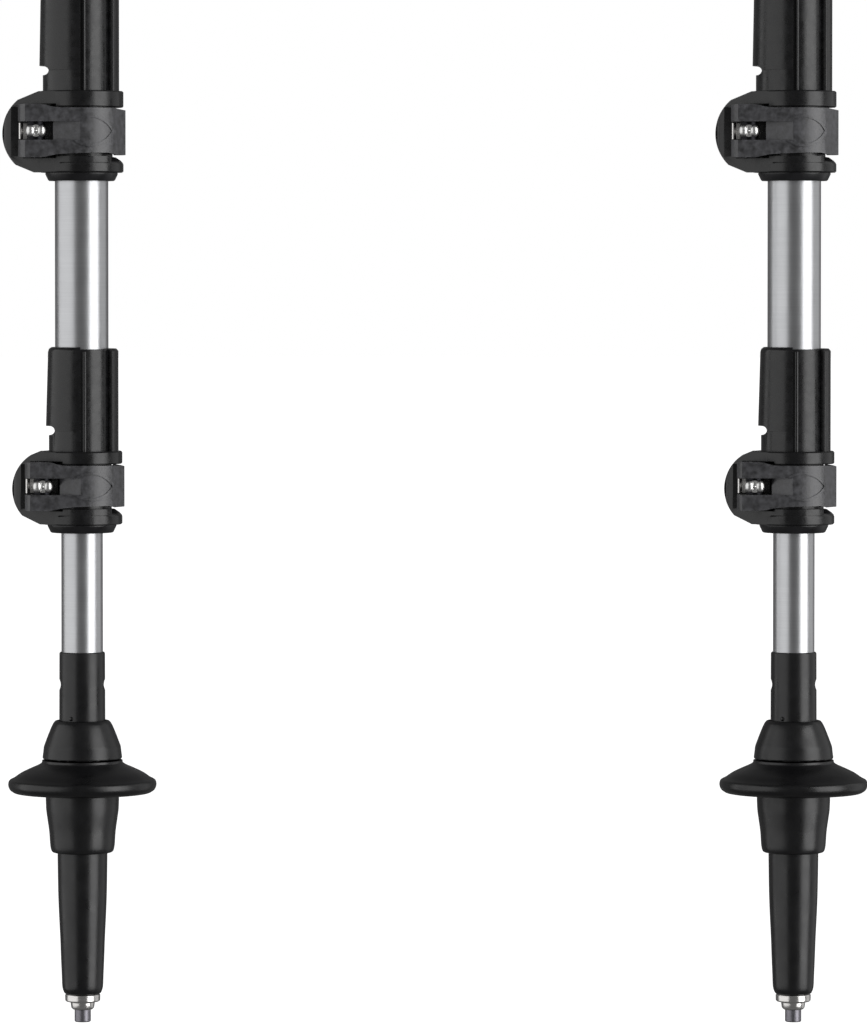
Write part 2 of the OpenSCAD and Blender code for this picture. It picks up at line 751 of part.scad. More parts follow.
right_pole() upper_lock() lock_piece("clamp_liner");  // right_upper_clamp_liner
right_pole() upper_lock() lock_piece("lever");  // right_upper_lever
right_pole() upper_lock() lock_piece("pivot_barrel");  // right_upper_pivot_barrel
right_pole() upper_lock() lock_piece("tension_bolt");  // right_upper_tension_bolt
right_pole() upper_lock() lock_piece("pressure_plate");  // right_upper_pressure_plate
right_pole() upper_lock() lock_piece("adjuster_nut");  // right_upper_adjuster_nut
right_pole() piece("upper_tube");  // right_upper_tube
right_pole() piece("grip_collar");  // right_grip_collar
right_pole() piece("grip");  // right_grip
right_pole() piece("grip_head");  // right_grip_head
right_pole() piece("strap_pin");  // right_strap_pin
right_pole() piece("wrist_strap");  // right_wrist_strap
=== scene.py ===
# A pair of three-section trekking poles with external lever clamps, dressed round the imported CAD.
# Every piece is modelled once in the frame of one pole, in millimetres with the point of the pin
# at height 0, and then set on both poles.
import json
import math

import bmesh
import bpy
from mathutils import Matrix, Vector


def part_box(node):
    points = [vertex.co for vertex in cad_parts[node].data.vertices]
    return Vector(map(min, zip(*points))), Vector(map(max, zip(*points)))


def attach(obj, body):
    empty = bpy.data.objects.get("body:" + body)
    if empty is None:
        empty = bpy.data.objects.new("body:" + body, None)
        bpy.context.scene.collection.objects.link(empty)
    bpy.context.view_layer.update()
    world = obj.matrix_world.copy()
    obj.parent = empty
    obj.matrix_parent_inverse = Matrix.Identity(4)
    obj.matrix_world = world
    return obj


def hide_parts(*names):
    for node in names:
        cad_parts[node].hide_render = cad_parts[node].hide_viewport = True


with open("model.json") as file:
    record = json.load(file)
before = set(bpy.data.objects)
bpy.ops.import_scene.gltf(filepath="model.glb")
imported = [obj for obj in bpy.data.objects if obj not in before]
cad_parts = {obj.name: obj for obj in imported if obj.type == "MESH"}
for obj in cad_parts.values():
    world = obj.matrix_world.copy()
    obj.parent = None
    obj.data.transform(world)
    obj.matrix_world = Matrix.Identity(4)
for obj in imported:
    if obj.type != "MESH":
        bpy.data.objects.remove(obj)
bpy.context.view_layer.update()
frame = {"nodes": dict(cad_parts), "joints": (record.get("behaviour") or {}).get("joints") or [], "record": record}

MM = 0.001
SIDES = ("left", "right")
BODY_OF = {
    node: body
    for body, nodes in frame["record"]["behaviour"]["bodies"].items()
    for node in nodes
}


# ---------------------------------------------------------------- places from the CAD


def pole_matrix(side):
    """From one pole's own frame to the row frame: the CAD's pin gives the foot and its strap hinge
    the turn."""
    low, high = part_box(side + "_carbide_pin")
    hinge = next(j for j in frame["joints"] if j["name"] == side + "_strap_swing")
    turn = math.atan2(hinge["axis"][1], hinge["axis"][0])
    foot = Vector(((low.x + high.x) / 2, (low.y + high.y) / 2, low.z))
    return Matrix.Translation(foot) @ Matrix.Rotation(turn, 4, "Z")


POLE = {side: pole_matrix(side) for side in SIDES}
FOOT_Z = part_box("left_carbide_pin")[0].z


def low_z(node):
    """Height of a CAD node's foot over the point of the pin, in millimetres."""
    return (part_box("left_" + node)[0].z - FOOT_Z) / MM


def high_z(node):
    """Height of its top."""
    return (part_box("left_" + node)[1].z - FOOT_Z) / MM


def radius(node):
    """Half its width, in millimetres."""
    low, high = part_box("left_" + node)
    return (high.x - low.x) / 2 / MM


# ---------------------------------------------------------------- modelling helpers


def only(obj):
    """Selects one object and nothing else."""
    bpy.ops.object.select_all(action="DESELECT")
    obj.select_set(True)
    bpy.context.view_layer.objects.active = obj


def edit(obj):
    only(obj)
    bpy.ops.object.mode_set(mode="EDIT")


def leave():
    bpy.ops.object.mode_set(mode="OBJECT")


def pick(obj, kind, wanted):
    """In edit mode, selects the faces, edges or vertices for which wanted() holds, and nothing else."""
    bpy.ops.mesh.select_mode(type=kind)
    bpy.ops.mesh.select_all(action="DESELECT")
    mesh = bmesh.from_edit_mesh(obj.data)
    parts = {"FACE": mesh.faces, "EDGE": mesh.edges, "VERT": mesh.verts}[kind]
    for part in parts:
        if wanted(part):
            part.select_set(True)
    mesh.select_flush_mode()
    bmesh.update_edit_mesh(obj.data)


def apply(obj, kind, **settings):
    """Puts a modifier on and applies it."""
    only(obj)
    modifier = obj.modifiers.new(kind.lower(), kind)
    for name, value in settings.items():
        setattr(modifier, name, value)
    bpy.ops.object.modifier_apply(modifier=modifier.name)
    return obj


def outward(obj):
    """Merges what lies together and turns the faces outwards."""
    edit(obj)
    bpy.ops.mesh.select_all(action="SELECT")
    bpy.ops.mesh.remove_doubles(threshold=2e-6)
    bpy.ops.mesh.normals_make_consistent(inside=False)
    leave()
    return obj


def settle(obj, name=None):
    """The finished place goes into the mesh."""
    only(obj)
    bpy.ops.object.transform_apply(location=True, rotation=True, scale=True)
    if name:
        obj.name = name
    return obj


def soften(obj, width, segments=2, angle=32):
    """Rounds every edge that is sharper than the angle."""
    return apply(
        obj,
        "BEVEL",
        width=width * MM,
        segments=segments,
        limit_method="ANGLE",
        angle_limit=math.radians(angle),
    )


def smooth(obj, angle=38):
    """Smooth shading between sharp edges, with flat faces keeping their own normals."""
    only(obj)
    bpy.ops.object.shade_smooth_by_angle(angle=math.radians(angle))
    return apply(obj, "WEIGHTED_NORMAL", keep_sharp=True)


def flowing(points, parts=4):
    """A smooth run of (radius, height) corners through the points given."""
    out = []
    for i in range(len(points) - 1):
        a = points[max(i - 1, 0)]
        b, c = points[i], points[i + 1]
        d = points[min(i + 2, len(points) - 1)]
        for k in range(parts):
            t = k / parts
            out.append(
                tuple(
                    0.5
                    * (
                        2 * b[n]
                        + (c[n] - a[n]) * t
                        + (2 * a[n] - 5 * b[n] + 4 * c[n] - d[n]) * t * t
                        + (3 * b[n] - a[n] - 3 * c[n] + d[n]) * t**3
                    )
                    for n in (0, 1)
                )
            )
    return out + [tuple(points[-1])]


def turned(name, corners, sides=96, bored=True):
    """A ring drawn up through its (radius, height) corners. Bored, it closes on itself, and if not,
    its ends are capped."""
    r, z = corners[0]
    bpy.ops.mesh.primitive_circle_add(
        vertices=sides, radius=r * MM, location=(0, 0, z * MM)
    )
    ring = settle(bpy.context.object, name)
    edit(ring)
    bpy.ops.mesh.select_all(action="SELECT")
    if not bored:
        bpy.ops.mesh.edge_face_add()
        pick(ring, "EDGE", lambda e: True)
    for new_r, new_z in list(corners[1:]) + ([corners[0]] if bored else []):
        bpy.ops.mesh.extrude_edges_move(
            TRANSFORM_OT_translate={"value": (0, 0, (new_z - z) * MM)}
        )
        bpy.ops.transform.resize(
            value=(new_r / r, new_r / r, 1), center_override=(0, 0, new_z * MM)
        )
        r, z = new_r, new_z
    if not bored:
        bpy.ops.mesh.edge_face_add()
    leave()
    return outward(ring)


def rod(name, r, start, end, sides=48):
    """A round bar between two points."""
    a, b = Vector(start), Vector(end)
    bpy.ops.mesh.primitive_cylinder_add(
        vertices=sides, radius=r * MM, depth=(b - a).length * MM, end_fill_type="NGON"
    )
    bar = bpy.context.object
    bar.rotation_euler = (b - a).to_track_quat("Z", "Y").to_euler()
    bar.location = (a + b) / 2 * MM
    return settle(bar, name)


def block(name, low, high):
    """A box between two corners."""
    a, b = Vector(low), Vector(high)
    bpy.ops.mesh.primitive_cube_add(size=1, location=(a + b) / 2 * MM)
    bpy.context.object.scale = (b - a) * MM
    return settle(bpy.context.object, name)


def slab(name, outline, low, high):
    """A flat outline of (x, y) points raised from one height to another."""
    bpy.ops.mesh.primitive_circle_add(
        vertices=len(outline), radius=MM, fill_type="NGON"
    )
    plate = bpy.context.object
    for vertex, (x, y) in zip(plate.data.vertices, outline):
        vertex.co = (x * MM, y * MM, low * MM)
    edit(plate)
    bpy.ops.mesh.select_all(action="SELECT")
    bpy.ops.mesh.extrude_region_move(
        TRANSFORM_OT_translate={"value": (0, 0, (high - low) * MM)}
    )
    leave()
    plate.name = name
    return outward(plate)


def polar(r, degrees):
    """The two coordinates of a point on a circle."""
    return (r * math.cos(math.radians(degrees)), r * math.sin(math.radians(degrees)))


def upright(name, outline, depth=40):
    """An outline of (x, height) points, made a prism from front to back."""
    prism = slab(name, outline, -depth, depth)
    prism.rotation_euler = (math.pi / 2, 0, 0)
    return settle(prism)


def bite(obj, tool, how="DIFFERENCE"):
    """Cuts with, adds or keeps what is common with a tool, which is used up."""
    apply(obj, "BOOLEAN", operation=how, object=tool, solver="MANIFOLD")
    bpy.data.objects.remove(tool)
    return obj


def welded(name, parts):
    """Several closed shapes as one object."""
    bpy.ops.object.select_all(action="DESELECT")
    for part in parts:
        part.select_set(True)
    bpy.context.view_layer.objects.active = parts[0]
    bpy.ops.object.join()
    parts[0].name = name
    return parts[0]


def hull_of(circles, steps=48):
    """The taut outline round several (x, y, radius) circles."""
    cloud = sorted(
        {
            (
                round(x + r * math.cos(2 * math.pi * k / steps), 5),
                round(y + r * math.sin(2 * math.pi * k / steps), 5),
            )
            for x, y, r in circles
            for k in range(steps)
        }
    )

    def half(points):
        chain = []
        for p in points:
            while (
                len(chain) > 1
                and (chain[-1][0] - chain[-2][0]) * (p[1] - chain[-2][1])
                - (chain[-1][1] - chain[-2][1]) * (p[0] - chain[-2][0])
                <= 1e-9
            ):
                chain.pop()
            chain.append(p)
        return chain[:-1]

    return half(cloud) + half(cloud[::-1])


# ---------------------------------------------------------------- material helpers


def linear(code):
    """An sRGB hex colour as linear red, green, blue and alpha."""
    parts = [int(code[i : i + 2], 16) / 255 for i in (0, 2, 4)]
    return tuple(
        c / 12.92 if c <= 0.04045 else ((c + 0.055) / 1.055) ** 2.4 for c in parts
    ) + (1.0,)


def node(material, kind, settings=None, inputs=None, feeds=None):
    """Adds a node with its settings. Its inputs are values or the outputs that feed them, and feeds
    gives the outputs that go to the material's shader, each with its socket there."""
    tree = material.node_tree
    made = tree.nodes.new(kind)
    for name, value in (settings or {}).items():
        setattr(made, name, value)
    for name, value in (inputs or {}).items():
        if isinstance(value, bpy.types.NodeSocket):
            tree.links.new(value, made.inputs[name])
        else:
            made.inputs[name].default_value = value
    for name, socket in (feeds or {}).items():
        tree.links.new(made.outputs[name], tree.nodes["Principled BSDF"].inputs[socket])
    return made


def blank(name, **shader_values):
    """A material with its shader's own values set, and the node that gives its coordinates."""
    material = bpy.data.materials.new(name)
    material.use_nodes = True
    shader = material.node_tree.nodes["Principled BSDF"]
    for socket, value in shader_values.items():
        shader.inputs[socket.replace("_", " ")].default_value = value
    return material, node(material, "ShaderNodeTexCoord")


def patterned(
    material,
    tint,
    colours,
    gloss=None,
    rough=(0, 0),
    relief=None,
    depth_mm=0,
    strength=0,
    share=(0, 1),
    window=(0.3, 0.7),
):
    """Lets patterns carry the colour between two hex colours and the roughness between two values, and
    raise the surface by a depth in millimetres. The window is the part of a pattern's range that is
    used, and the share is how far the colour goes."""
    spread = {"From Min": window[0], "From Max": window[1]}
    mixed = node(
        material,
        "ShaderNodeMapRange",
        None,
        {"Value": tint, **spread, "To Min": share[0], "To Max": share[1]},
    )
    node(
        material,
        "ShaderNodeMix",
        {"data_type": "RGBA"},
        {
            "Factor": mixed.outputs["Result"],
            "A": linear(colours[0]),
            "B": linear(colours[1]),
        },
        {"Result": "Base Color"},
    )
    if gloss:
        node(
            material,
            "ShaderNodeMapRange",
            None,
            {"Value": gloss, **spread, "To Min": rough[0], "To Max": rough[1]},
            {"Result": "Roughness"},
        )
    if relief:
        node(
            material,
            "ShaderNodeBump",
            None,
            {"Height": relief, "Distance": depth_mm * MM, "Strength": strength},
            {"Normal": "Normal"},
        )


# ---------------------------------------------------------------- materials


def moulded_nylon(name, dark, light, rough, streak_mm, level=0.5):
    """Glass-filled polyamide, injection moulded: the short fibres leave a mottled sheen of slightly
    lighter streaks, and the mould's fine spark texture breaks up the gloss."""
    material, place = blank(name, IOR=1.53, Specular_IOR_Level=level)
    cloud = node(
        material,
        "ShaderNodeTexNoise",
        None,
        {
            "Vector": place.outputs["Object"],
            "Scale": 1 / (streak_mm * MM),
            "Detail": 4.0,
            "Roughness": 0.62,
        },
    ).outputs["Fac"]
    # spark texture is 0.1 mm on the real part, drawn at 0.5 mm so that it shows
    grain = node(
        material,
        "ShaderNodeTexNoise",
        None,
        {
            "Vector": place.outputs["Object"],
            "Scale": 1 / (0.5 * MM),
            "Detail": 1.0,
            "Roughness": 0.55,
        },
    ).outputs["Fac"]
    patterned(
        material,
        cloud,
        (dark, light),
        cloud,
        (rough - 0.07, rough + 0.09),
        grain,
        depth_mm=0.012,
        strength=0.3,
    )
    return material


def drawn_aluminium():
    """Anodised aluminium tube, drawn and brushed: a satin metal with very fine rings round the tube."""
    material, place = blank("anodised_aluminium_drawn", Metallic=1.0)
    # brush rings are 0.05 mm apart on the real tube, drawn at 0.4 mm so that they show
    rings = node(
        material,
        "ShaderNodeMapping",
        None,
        {"Vector": place.outputs["Object"], "Scale": (40, 40, 1 / (0.4 * MM))},
    )
    fine = node(
        material,
        "ShaderNodeTexNoise",
        None,
        {"Vector": rings.outputs["Vector"], "Scale": 1.0, "Detail": 2.0},
    ).outputs["Fac"]
    # anodising clouds, about 9 mm across
    cloud = node(
        material,
        "ShaderNodeTexNoise",
        None,
        {
            "Vector": place.outputs["Object"],
            "Scale": 1 / (9 * MM),
            "Detail": 2.0,
            "Roughness": 0.55,
        },
    ).outputs["Fac"]
    patterned(
        material,
        fine,
        ("bcbdbf", "c8c9cb"),
        cloud,
        (0.3, 0.36),
        fine,
        depth_mm=0.004,
        strength=0.4,
        share=(0.25, 0.75),
    )
    return material


def turned_steel(name, dark, light, rough):
    """Steel turned on a lathe, with faint tool rings: bright if polished or tumbled, grey if plated,
    and near black if oxidised."""
    material, place = blank(name, Metallic=1.0)
    # tool rings are 0.1 mm apart on the real part, drawn at 0.25 mm so that they show
    rings = node(
        material,
        "ShaderNodeMapping",
        None,
        {"Vector": place.outputs["Object"], "Scale": (60, 60, 1 / (0.25 * MM))},
    )
    fine = node(
        material,
        "ShaderNodeTexNoise",
        None,
        {"Vector": rings.outputs["Vector"], "Scale": 1.0, "Detail": 2.0},
    ).outputs["Fac"]
    patterned(material, fine, (dark, light), fine, (rough - 0.04, rough + 0.05))
    return material


def sintered_carbide():
    """Tungsten carbide, pressed and sintered: a dull grey metal with a fine grain."""
    material, place = blank("tungsten_carbide_sintered", Metallic=1.0)
    # the grain is a few thousandths of a millimetre, drawn at 0.3 mm so that it shows
    grain = node(
        material,
        "ShaderNodeTexNoise",
        None,
        {
            "Vector": place.outputs["Object"],
            "Scale": 1 / (0.3 * MM),
            "Detail": 3.0,
            "Roughness": 0.55,
        },
    ).outputs["Fac"]
    patterned(
        material,
        grain,
        ("77757a", "94929a"),
        grain,
        (0.34, 0.5),
        grain,
        depth_mm=0.02,
        strength=0.4,
    )
    return material


def eva_foam():
    """EVA foam, cut and ground: matt, with its closed cells open at the skin."""
    material, place = blank("eva_foam_ground", IOR=1.48, Specular_IOR_Level=0.3)
    # the cells are about 0.3 mm across, drawn at 0.7 mm so that they show
    cells = node(
        material,
        "ShaderNodeTexVoronoi",
        None,
        {"Vector": place.outputs["Object"], "Scale": 1 / (0.7 * MM)},
    ).outputs["Distance"]
    cloud = node(
        material,
        "ShaderNodeTexNoise",
        None,
        {
            "Vector": place.outputs["Object"],
            "Scale": 1 / (6 * MM),
            "Detail": 3.0,
            "Roughness": 0.55,
        },
    ).outputs["Fac"]
    patterned(
        material,
        cloud,
        ("1d1d1f", "2a2a2c"),
        cloud,
        (0.82, 0.95),
        cells,
        depth_mm=0.12,
        strength=0.6,
    )
    return material


def soft_touch(name, dark, light):
    """Thermoplastic rubber, moulded in a blasted mould: soft, nearly matt black."""
    material, place = blank(name, IOR=1.5, Specular_IOR_Level=0.4)
    # the blasted texture is 0.15 mm on the real part, drawn at 0.6 mm so that it shows
    grain, cloud = (
        node(
            material,
            "ShaderNodeTexNoise",
            None,
            {
                "Vector": place.outputs["Object"],
                "Scale": 1 / (across_mm * MM),
                "Detail": 2.0,
                "Roughness": 0.55,
            },
        ).outputs["Fac"]
        for across_mm in (0.6, 11)
    )
    patterned(
        material,
        cloud,
        (dark, light),
        cloud,
        (0.52, 0.64),
        grain,
        depth_mm=0.05,
        strength=0.4,
    )
    return material


def woven_polyester():
    """Polyester webbing: a twill of 1 mm yarns with a dull silky sheen. It follows the strap's own map,
    along the strap and across it in millimetres."""
    material, place = blank(
        "polyester_webbing", IOR=1.5, Specular_IOR_Level=0.35, Sheen_Weight=0.25
    )
    turn = node(
        material,
        "ShaderNodeMapping",
        None,
        {"Vector": place.outputs["UV"], "Rotation": (0, 0, math.radians(38))},
    )
    twill = node(
        material,
        "ShaderNodeTexWave",
        {"wave_type": "BANDS", "bands_direction": "X"},
        # a wave is 2 pi / 20 units long, so this gives one rib for each 1.1 mm
        {"Vector": turn.outputs["Vector"], "Scale": 0.285, "Distortion": 0.4},
    )
    across = node(
        material,
        "ShaderNodeTexWave",
        {"wave_type": "BANDS", "bands_direction": "X"},
        {"Vector": place.outputs["UV"], "Scale": 0.52, "Distortion": 0.2},
    )
    weave = node(
        material,
        "ShaderNodeMath",
        {"operation": "MULTIPLY"},
        {0: twill.outputs["Fac"], 1: across.outputs["Fac"]},
    ).outputs[0]
    patterned(
        material,
        weave,
        ("141416", "2d2d30"),
        weave,
        (0.8, 0.62),
        weave,
        depth_mm=0.25,
        strength=0.7,
        window=(0, 1),
    )
    return material


CLAMP_NYLON = moulded_nylon("glass_filled_nylon_moulded", "0a0a0b", "141416", 0.27, 3.0)
LEVER_NYLON = moulded_nylon("glass_filled_nylon_lever", "202022", "525256", 0.42, 2.0, 0.9)
# the tip and the basket are plain polypropylene and the tube guides acetal, moulded the same way
TIP_PLASTIC = moulded_nylon("polypropylene_moulded", "0a0a0c", "121214", 0.32, 7.0)
ACETAL = moulded_nylon("acetal_moulded", "121214", "1b1b1e", 0.34, 5.0)
ALUMINIUM = drawn_aluminium()
BRIGHT_STEEL = turned_steel("stainless_steel_polished", "d6d4d1", "e6e4e2", 0.22)
ZINC_STEEL = turned_steel("steel_zinc_plated", "b4b4b6", "c6c6c8", 0.24)
SATIN_STEEL = turned_steel("stainless_steel_tumbled", "e0dfdd", "ededec", 0.34)
BLACK_STEEL = turned_steel("steel_black_oxide", "1c1c1e", "2a2a2d", 0.34)
CARBIDE = sintered_carbide()
FOAM = eva_foam()
HEAD_RUBBER = soft_touch("tpr_soft_touch", "101012", "1a1a1d")
WEBBING = woven_polyester()


def on_both_poles(shape, nodes, material, name=None):
    """Sets a finished shape on both poles, in the place of those CAD nodes."""
    shape.data.materials.clear()
    shape.data.materials.append(material)
    for face in shape.data.polygons:
        face.material_index = 0
    for side in SIDES:
        piece = bpy.data.objects.new(
            side + "_" + (name or nodes[0]) + "_piece", shape.data.copy()
        )
        bpy.context.scene.collection.objects.link(piece)
        piece.data.transform(POLE[side])
        piece.data.update()
        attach(piece, BODY_OF[side + "_" + nodes[0]])
        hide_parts(*[side + "_" + n for n in nodes])
    bpy.data.objects.remove(shape)


# ---------------------------------------------------------------- tip and basket

PIN_R = radius("carbide_pin")
TIP_Z = low_z("tip_body")
SOCKET_Z = high_z("basket_collar")
SOCKET_TOP = high_z("tip_body")
HUB_Z = low_z("basket")
COLLAR_Z = low_z("basket_collar")
RIM_Z = HUB_Z + 23.3
RIM_R = radius("basket")
LOWER_TUBE_R = radius("lower_tube")


def make_pin():
    """The hard point: a short cylinder with a hollow face, so that its edge bites."""
    top = high_z("carbide_pin")
    pin = turned(
        "pin",
        [
            (0.35, 0.75),
            (1.3, 0.6),
            (2.1, 0.08),
            (PIN_R - 0.28, 0),
            (PIN_R, 0.3),
            (PIN_R, 4.2),
            (PIN_R - 0.75, 4.2),
            (PIN_R - 0.75, top),
        ],
        64,
        bored=False,
    )
    on_both_poles(
        smooth(soften(pin, 0.12)), ["carbide_pin"], CARBIDE
    )


def make_ferrule():
    """Two polished steps that hold the pin."""
    z = low_z("tip_ferrule")
    ferrule = turned(
        "ferrule",
        [
            (PIN_R - 0.7, z),
            (3.25, z),
            (3.85, z + 0.6),
            (4.05, z + 1.9),
            (4.05, z + 2.5),
            (4.3, z + 2.7),
            (5.45, z + 2.7),
            (5.9, z + 3.1),
            (5.95, z + 4.9),
            (5.6, z + 5.4),
            (4.2, z + 5.4),
            (4.2, z + 23.4),
            (PIN_R - 0.7, z + 23.4),
        ],
        80,
    )
    on_both_poles(
        smooth(soften(ferrule, 0.14)), ["tip_ferrule"], BRIGHT_STEEL
    )


def make_tip():
    """The long moulded cone, with the thin socket for the lower tube and a thumb scoop on both its
    sides."""
    z = TIP_Z
    socket = LOWER_TUBE_R + 0.75
    bore = LOWER_TUBE_R + 0.03
    tip = turned(
        "tip",
        [(4.23, z + 18), (4.23, z), (5.9, z)]
        + flowing(
            [
                (6.25, z + 0.35),
                (6.86, z + 2.2),
                (7.05, z + 6.3),
                (7.28, z + 11.6),
                (7.55, z + 19),
                (7.98, z + 27.8),
                (8.23, z + 35),
                (8.4, z + 46),
            ],
            3,
        )
        + [
            (8.4, SOCKET_Z - 0.6),
            (socket + 0.03, SOCKET_Z - 0.6),
            (socket - 0.05, SOCKET_TOP - 0.5),
            (socket - 0.3, SOCKET_TOP),
            (bore, SOCKET_TOP),
            (bore, low_z("lower_tube")),
        ],
        bored=False,
    )
    soften(tip, 0.22)
    for way in (-1, 1):
        x = way * (socket + 4 - 0.5)
        scoop = rod("scoop", 4, (x, -15, SOCKET_Z + 12.1), (x, 15, SOCKET_Z + 12.1), 64)
        bite(tip, scoop)
    # gate mark: the small moulded pip low on the front of the socket
    pip = turned(
        "pip",
        [(0.05, 0.5), (0.5, 0.42), (0.75, 0.15), (0.8, -0.6)],
        20,
        bored=False,
    )
    pip.rotation_euler = (math.pi / 2, 0, math.radians(-29))
    pip.location = Vector((-math.sin(math.radians(29)), -math.cos(math.radians(29)), 0)) * (
        socket * MM
    ) + Vector((0, 0, (SOCKET_Z + 0.9) * MM))
    settle(pip)
    tip = welded("tip", [tip, pip])
    on_both_poles(smooth(tip), ["tip_body"], TIP_PLASTIC)


def make_basket():
    """The dished disc on its tapered hub, with a rolled rim and a groove under the collar."""
    neck = 8.53
    hub = 10.4
    basket = turned(
        "basket",
        [(neck, HUB_Z), (hub - 0.5, HUB_Z)]
        + flowing(
            [
                (hub, HUB_Z + 0.4),
                (hub + 0.45, HUB_Z + 2.2),
                (hub + 0.8, HUB_Z + 7),
                (hub + 1.35, HUB_Z + 11),
                (hub + 1.8, HUB_Z + 14.3),
                (hub + 1.95, HUB_Z + 17.4),
                (hub + 2.1, HUB_Z + 19.6),
                (hub + 3.6, HUB_Z + 20.9),
                (RIM_R * 0.74, RIM_Z - 2.5),
                (RIM_R - 3.2, RIM_Z - 3.0),
            ],
            4,
        )
        + flowing(
            [
                (RIM_R - 2.0, RIM_Z - 3.1),
                (RIM_R - 0.6, RIM_Z - 2.1),
                (RIM_R, RIM_Z - 0.5),
                (RIM_R - 0.35, RIM_Z + 1.0),
                (RIM_R - 1.6, RIM_Z + 1.75),
            ],
            4,
        )
        + flowing(
            [
                (RIM_R - 2.2, RIM_Z + 2.1),
                (RIM_R - 4.4, RIM_Z + 3.6),
                (RIM_R * 0.7, RIM_Z + 5.1),
                (RIM_R * 0.6, RIM_Z + 6.2),
                (13.75, RIM_Z + 6.95),
            ],
            4,
        )
        + [(13.6, RIM_Z + 7.3), (13.6, COLLAR_Z - 0.4), (neck, COLLAR_Z - 0.25)],
        sides=128,
    )
    on_both_poles(smooth(soften(basket, 0.2)), ["basket"], TIP_PLASTIC)


def make_collar():
    """The cone that closes the top of the basket."""
    neck = 8.53
    z = COLLAR_Z
    collar = turned(
        "collar",
        [(neck, z), (13.1, z), (13.4, z + 0.3)]
        + flowing(
            [
                (13.4, z + 0.6),
                (13.15, z + 2.6),
                (12.95, z + 4.2),
                (12.5, z + 5.5),
                (11.6, z + 7.9),
                (10.5, z + 10.6),
                (9.75, z + 12.1),
            ],
            3,
        )
        + [(9.1, z + 12.9), (neck, z + 12.95)],
    )
    on_both_poles(
        smooth(soften(collar, 0.25)), ["basket_collar"], TIP_PLASTIC
    )


# ---------------------------------------------------------------- tubes


def make_tube(node_name, wall=0.8):
    """A drawn tube with its ends broken by a small chamfer."""
    r = radius(node_name)
    low, high = low_z(node_name), high_z(node_name)
    tube = turned(
        "tube",
        [(r - wall, low), (r - 0.2, low), (r, low + 0.2), (r, high - 0.2), (r - 0.2, high)]
        + [(r - wall, high)],
    )
    on_both_poles(smooth(tube), [node_name], ALUMINIUM)


# ---------------------------------------------------------------- clamps


def lock_sizes(which):
    """The sizes of one clamp, in millimetres, with heights over the foot of its liner."""
    lower = which == "lower"
    tube = radius("lower_tube" if lower else "middle_tube")
    outer = radius("middle_tube" if lower else "upper_tube")
    s = {
        "which": which,
        "foot": low_z(which + "_clamp_liner"),
        "tube": tube,
        "outer": outer,
        "liner": tube + (1.6 if lower else 1.0),
        "lip": 2.1 if lower else 1.3,
        "lever_h": 14.0 if lower else 15.5,
        "window": 5.6 if lower else 6.2,
        "ring_h": 4.3 if lower else 5.5,
        "sleeve_h": 35.0 if lower else 40.0,
        "ear_r": 13.2 if lower else 14.6,
        "ear_drop": 1.2 if lower else 0.7,
        "ear_foot": (2.9, 25.5) if lower else (2.3, 22.5),
        "sleeve": outer + (3.0 if lower else 2.05),
        "shell_foot": 1.0 if lower else 1.15,
        "shell_top": 0.2 if lower else 0.55,
    }
    s["waist"] = s["liner"] + (2.03 if lower else 1.13)
    s["ring"] = s["waist"] + 3
    s["lever"] = s["waist"] + 3.6
    s["left"] = s["sleeve"] + (-0.85 if lower else 0.65)
    s["bolt_x"] = -(s["waist"] + (2.5 if lower else 4.1))
    s["reach"] = -s["bolt_x"] + s["ear_r"] - (2.8 if lower else 3.2)
    s["mid"] = LEVER_FOOT + s["lever_h"] / 2
    s["ring_z"] = LEVER_FOOT + 0.3 + s["lever_h"]
    s["seat"] = s["ring_z"] + s["ring_h"]
    s["notch"] = s["seat"] + 6.9
    return s


LEVER_FOOT = 8.9
EAR_FRONT, EAR_BACK = 3.0, 6.5
CAM_R = 6.0
BARREL_Y = -10.3
CAM_Y = BARREL_Y + 0.35


def raised(obj, s):
    """From the clamp's own heights to the pole's."""
    obj.location = (0, 0, s["foot"] * MM)
    return settle(obj)


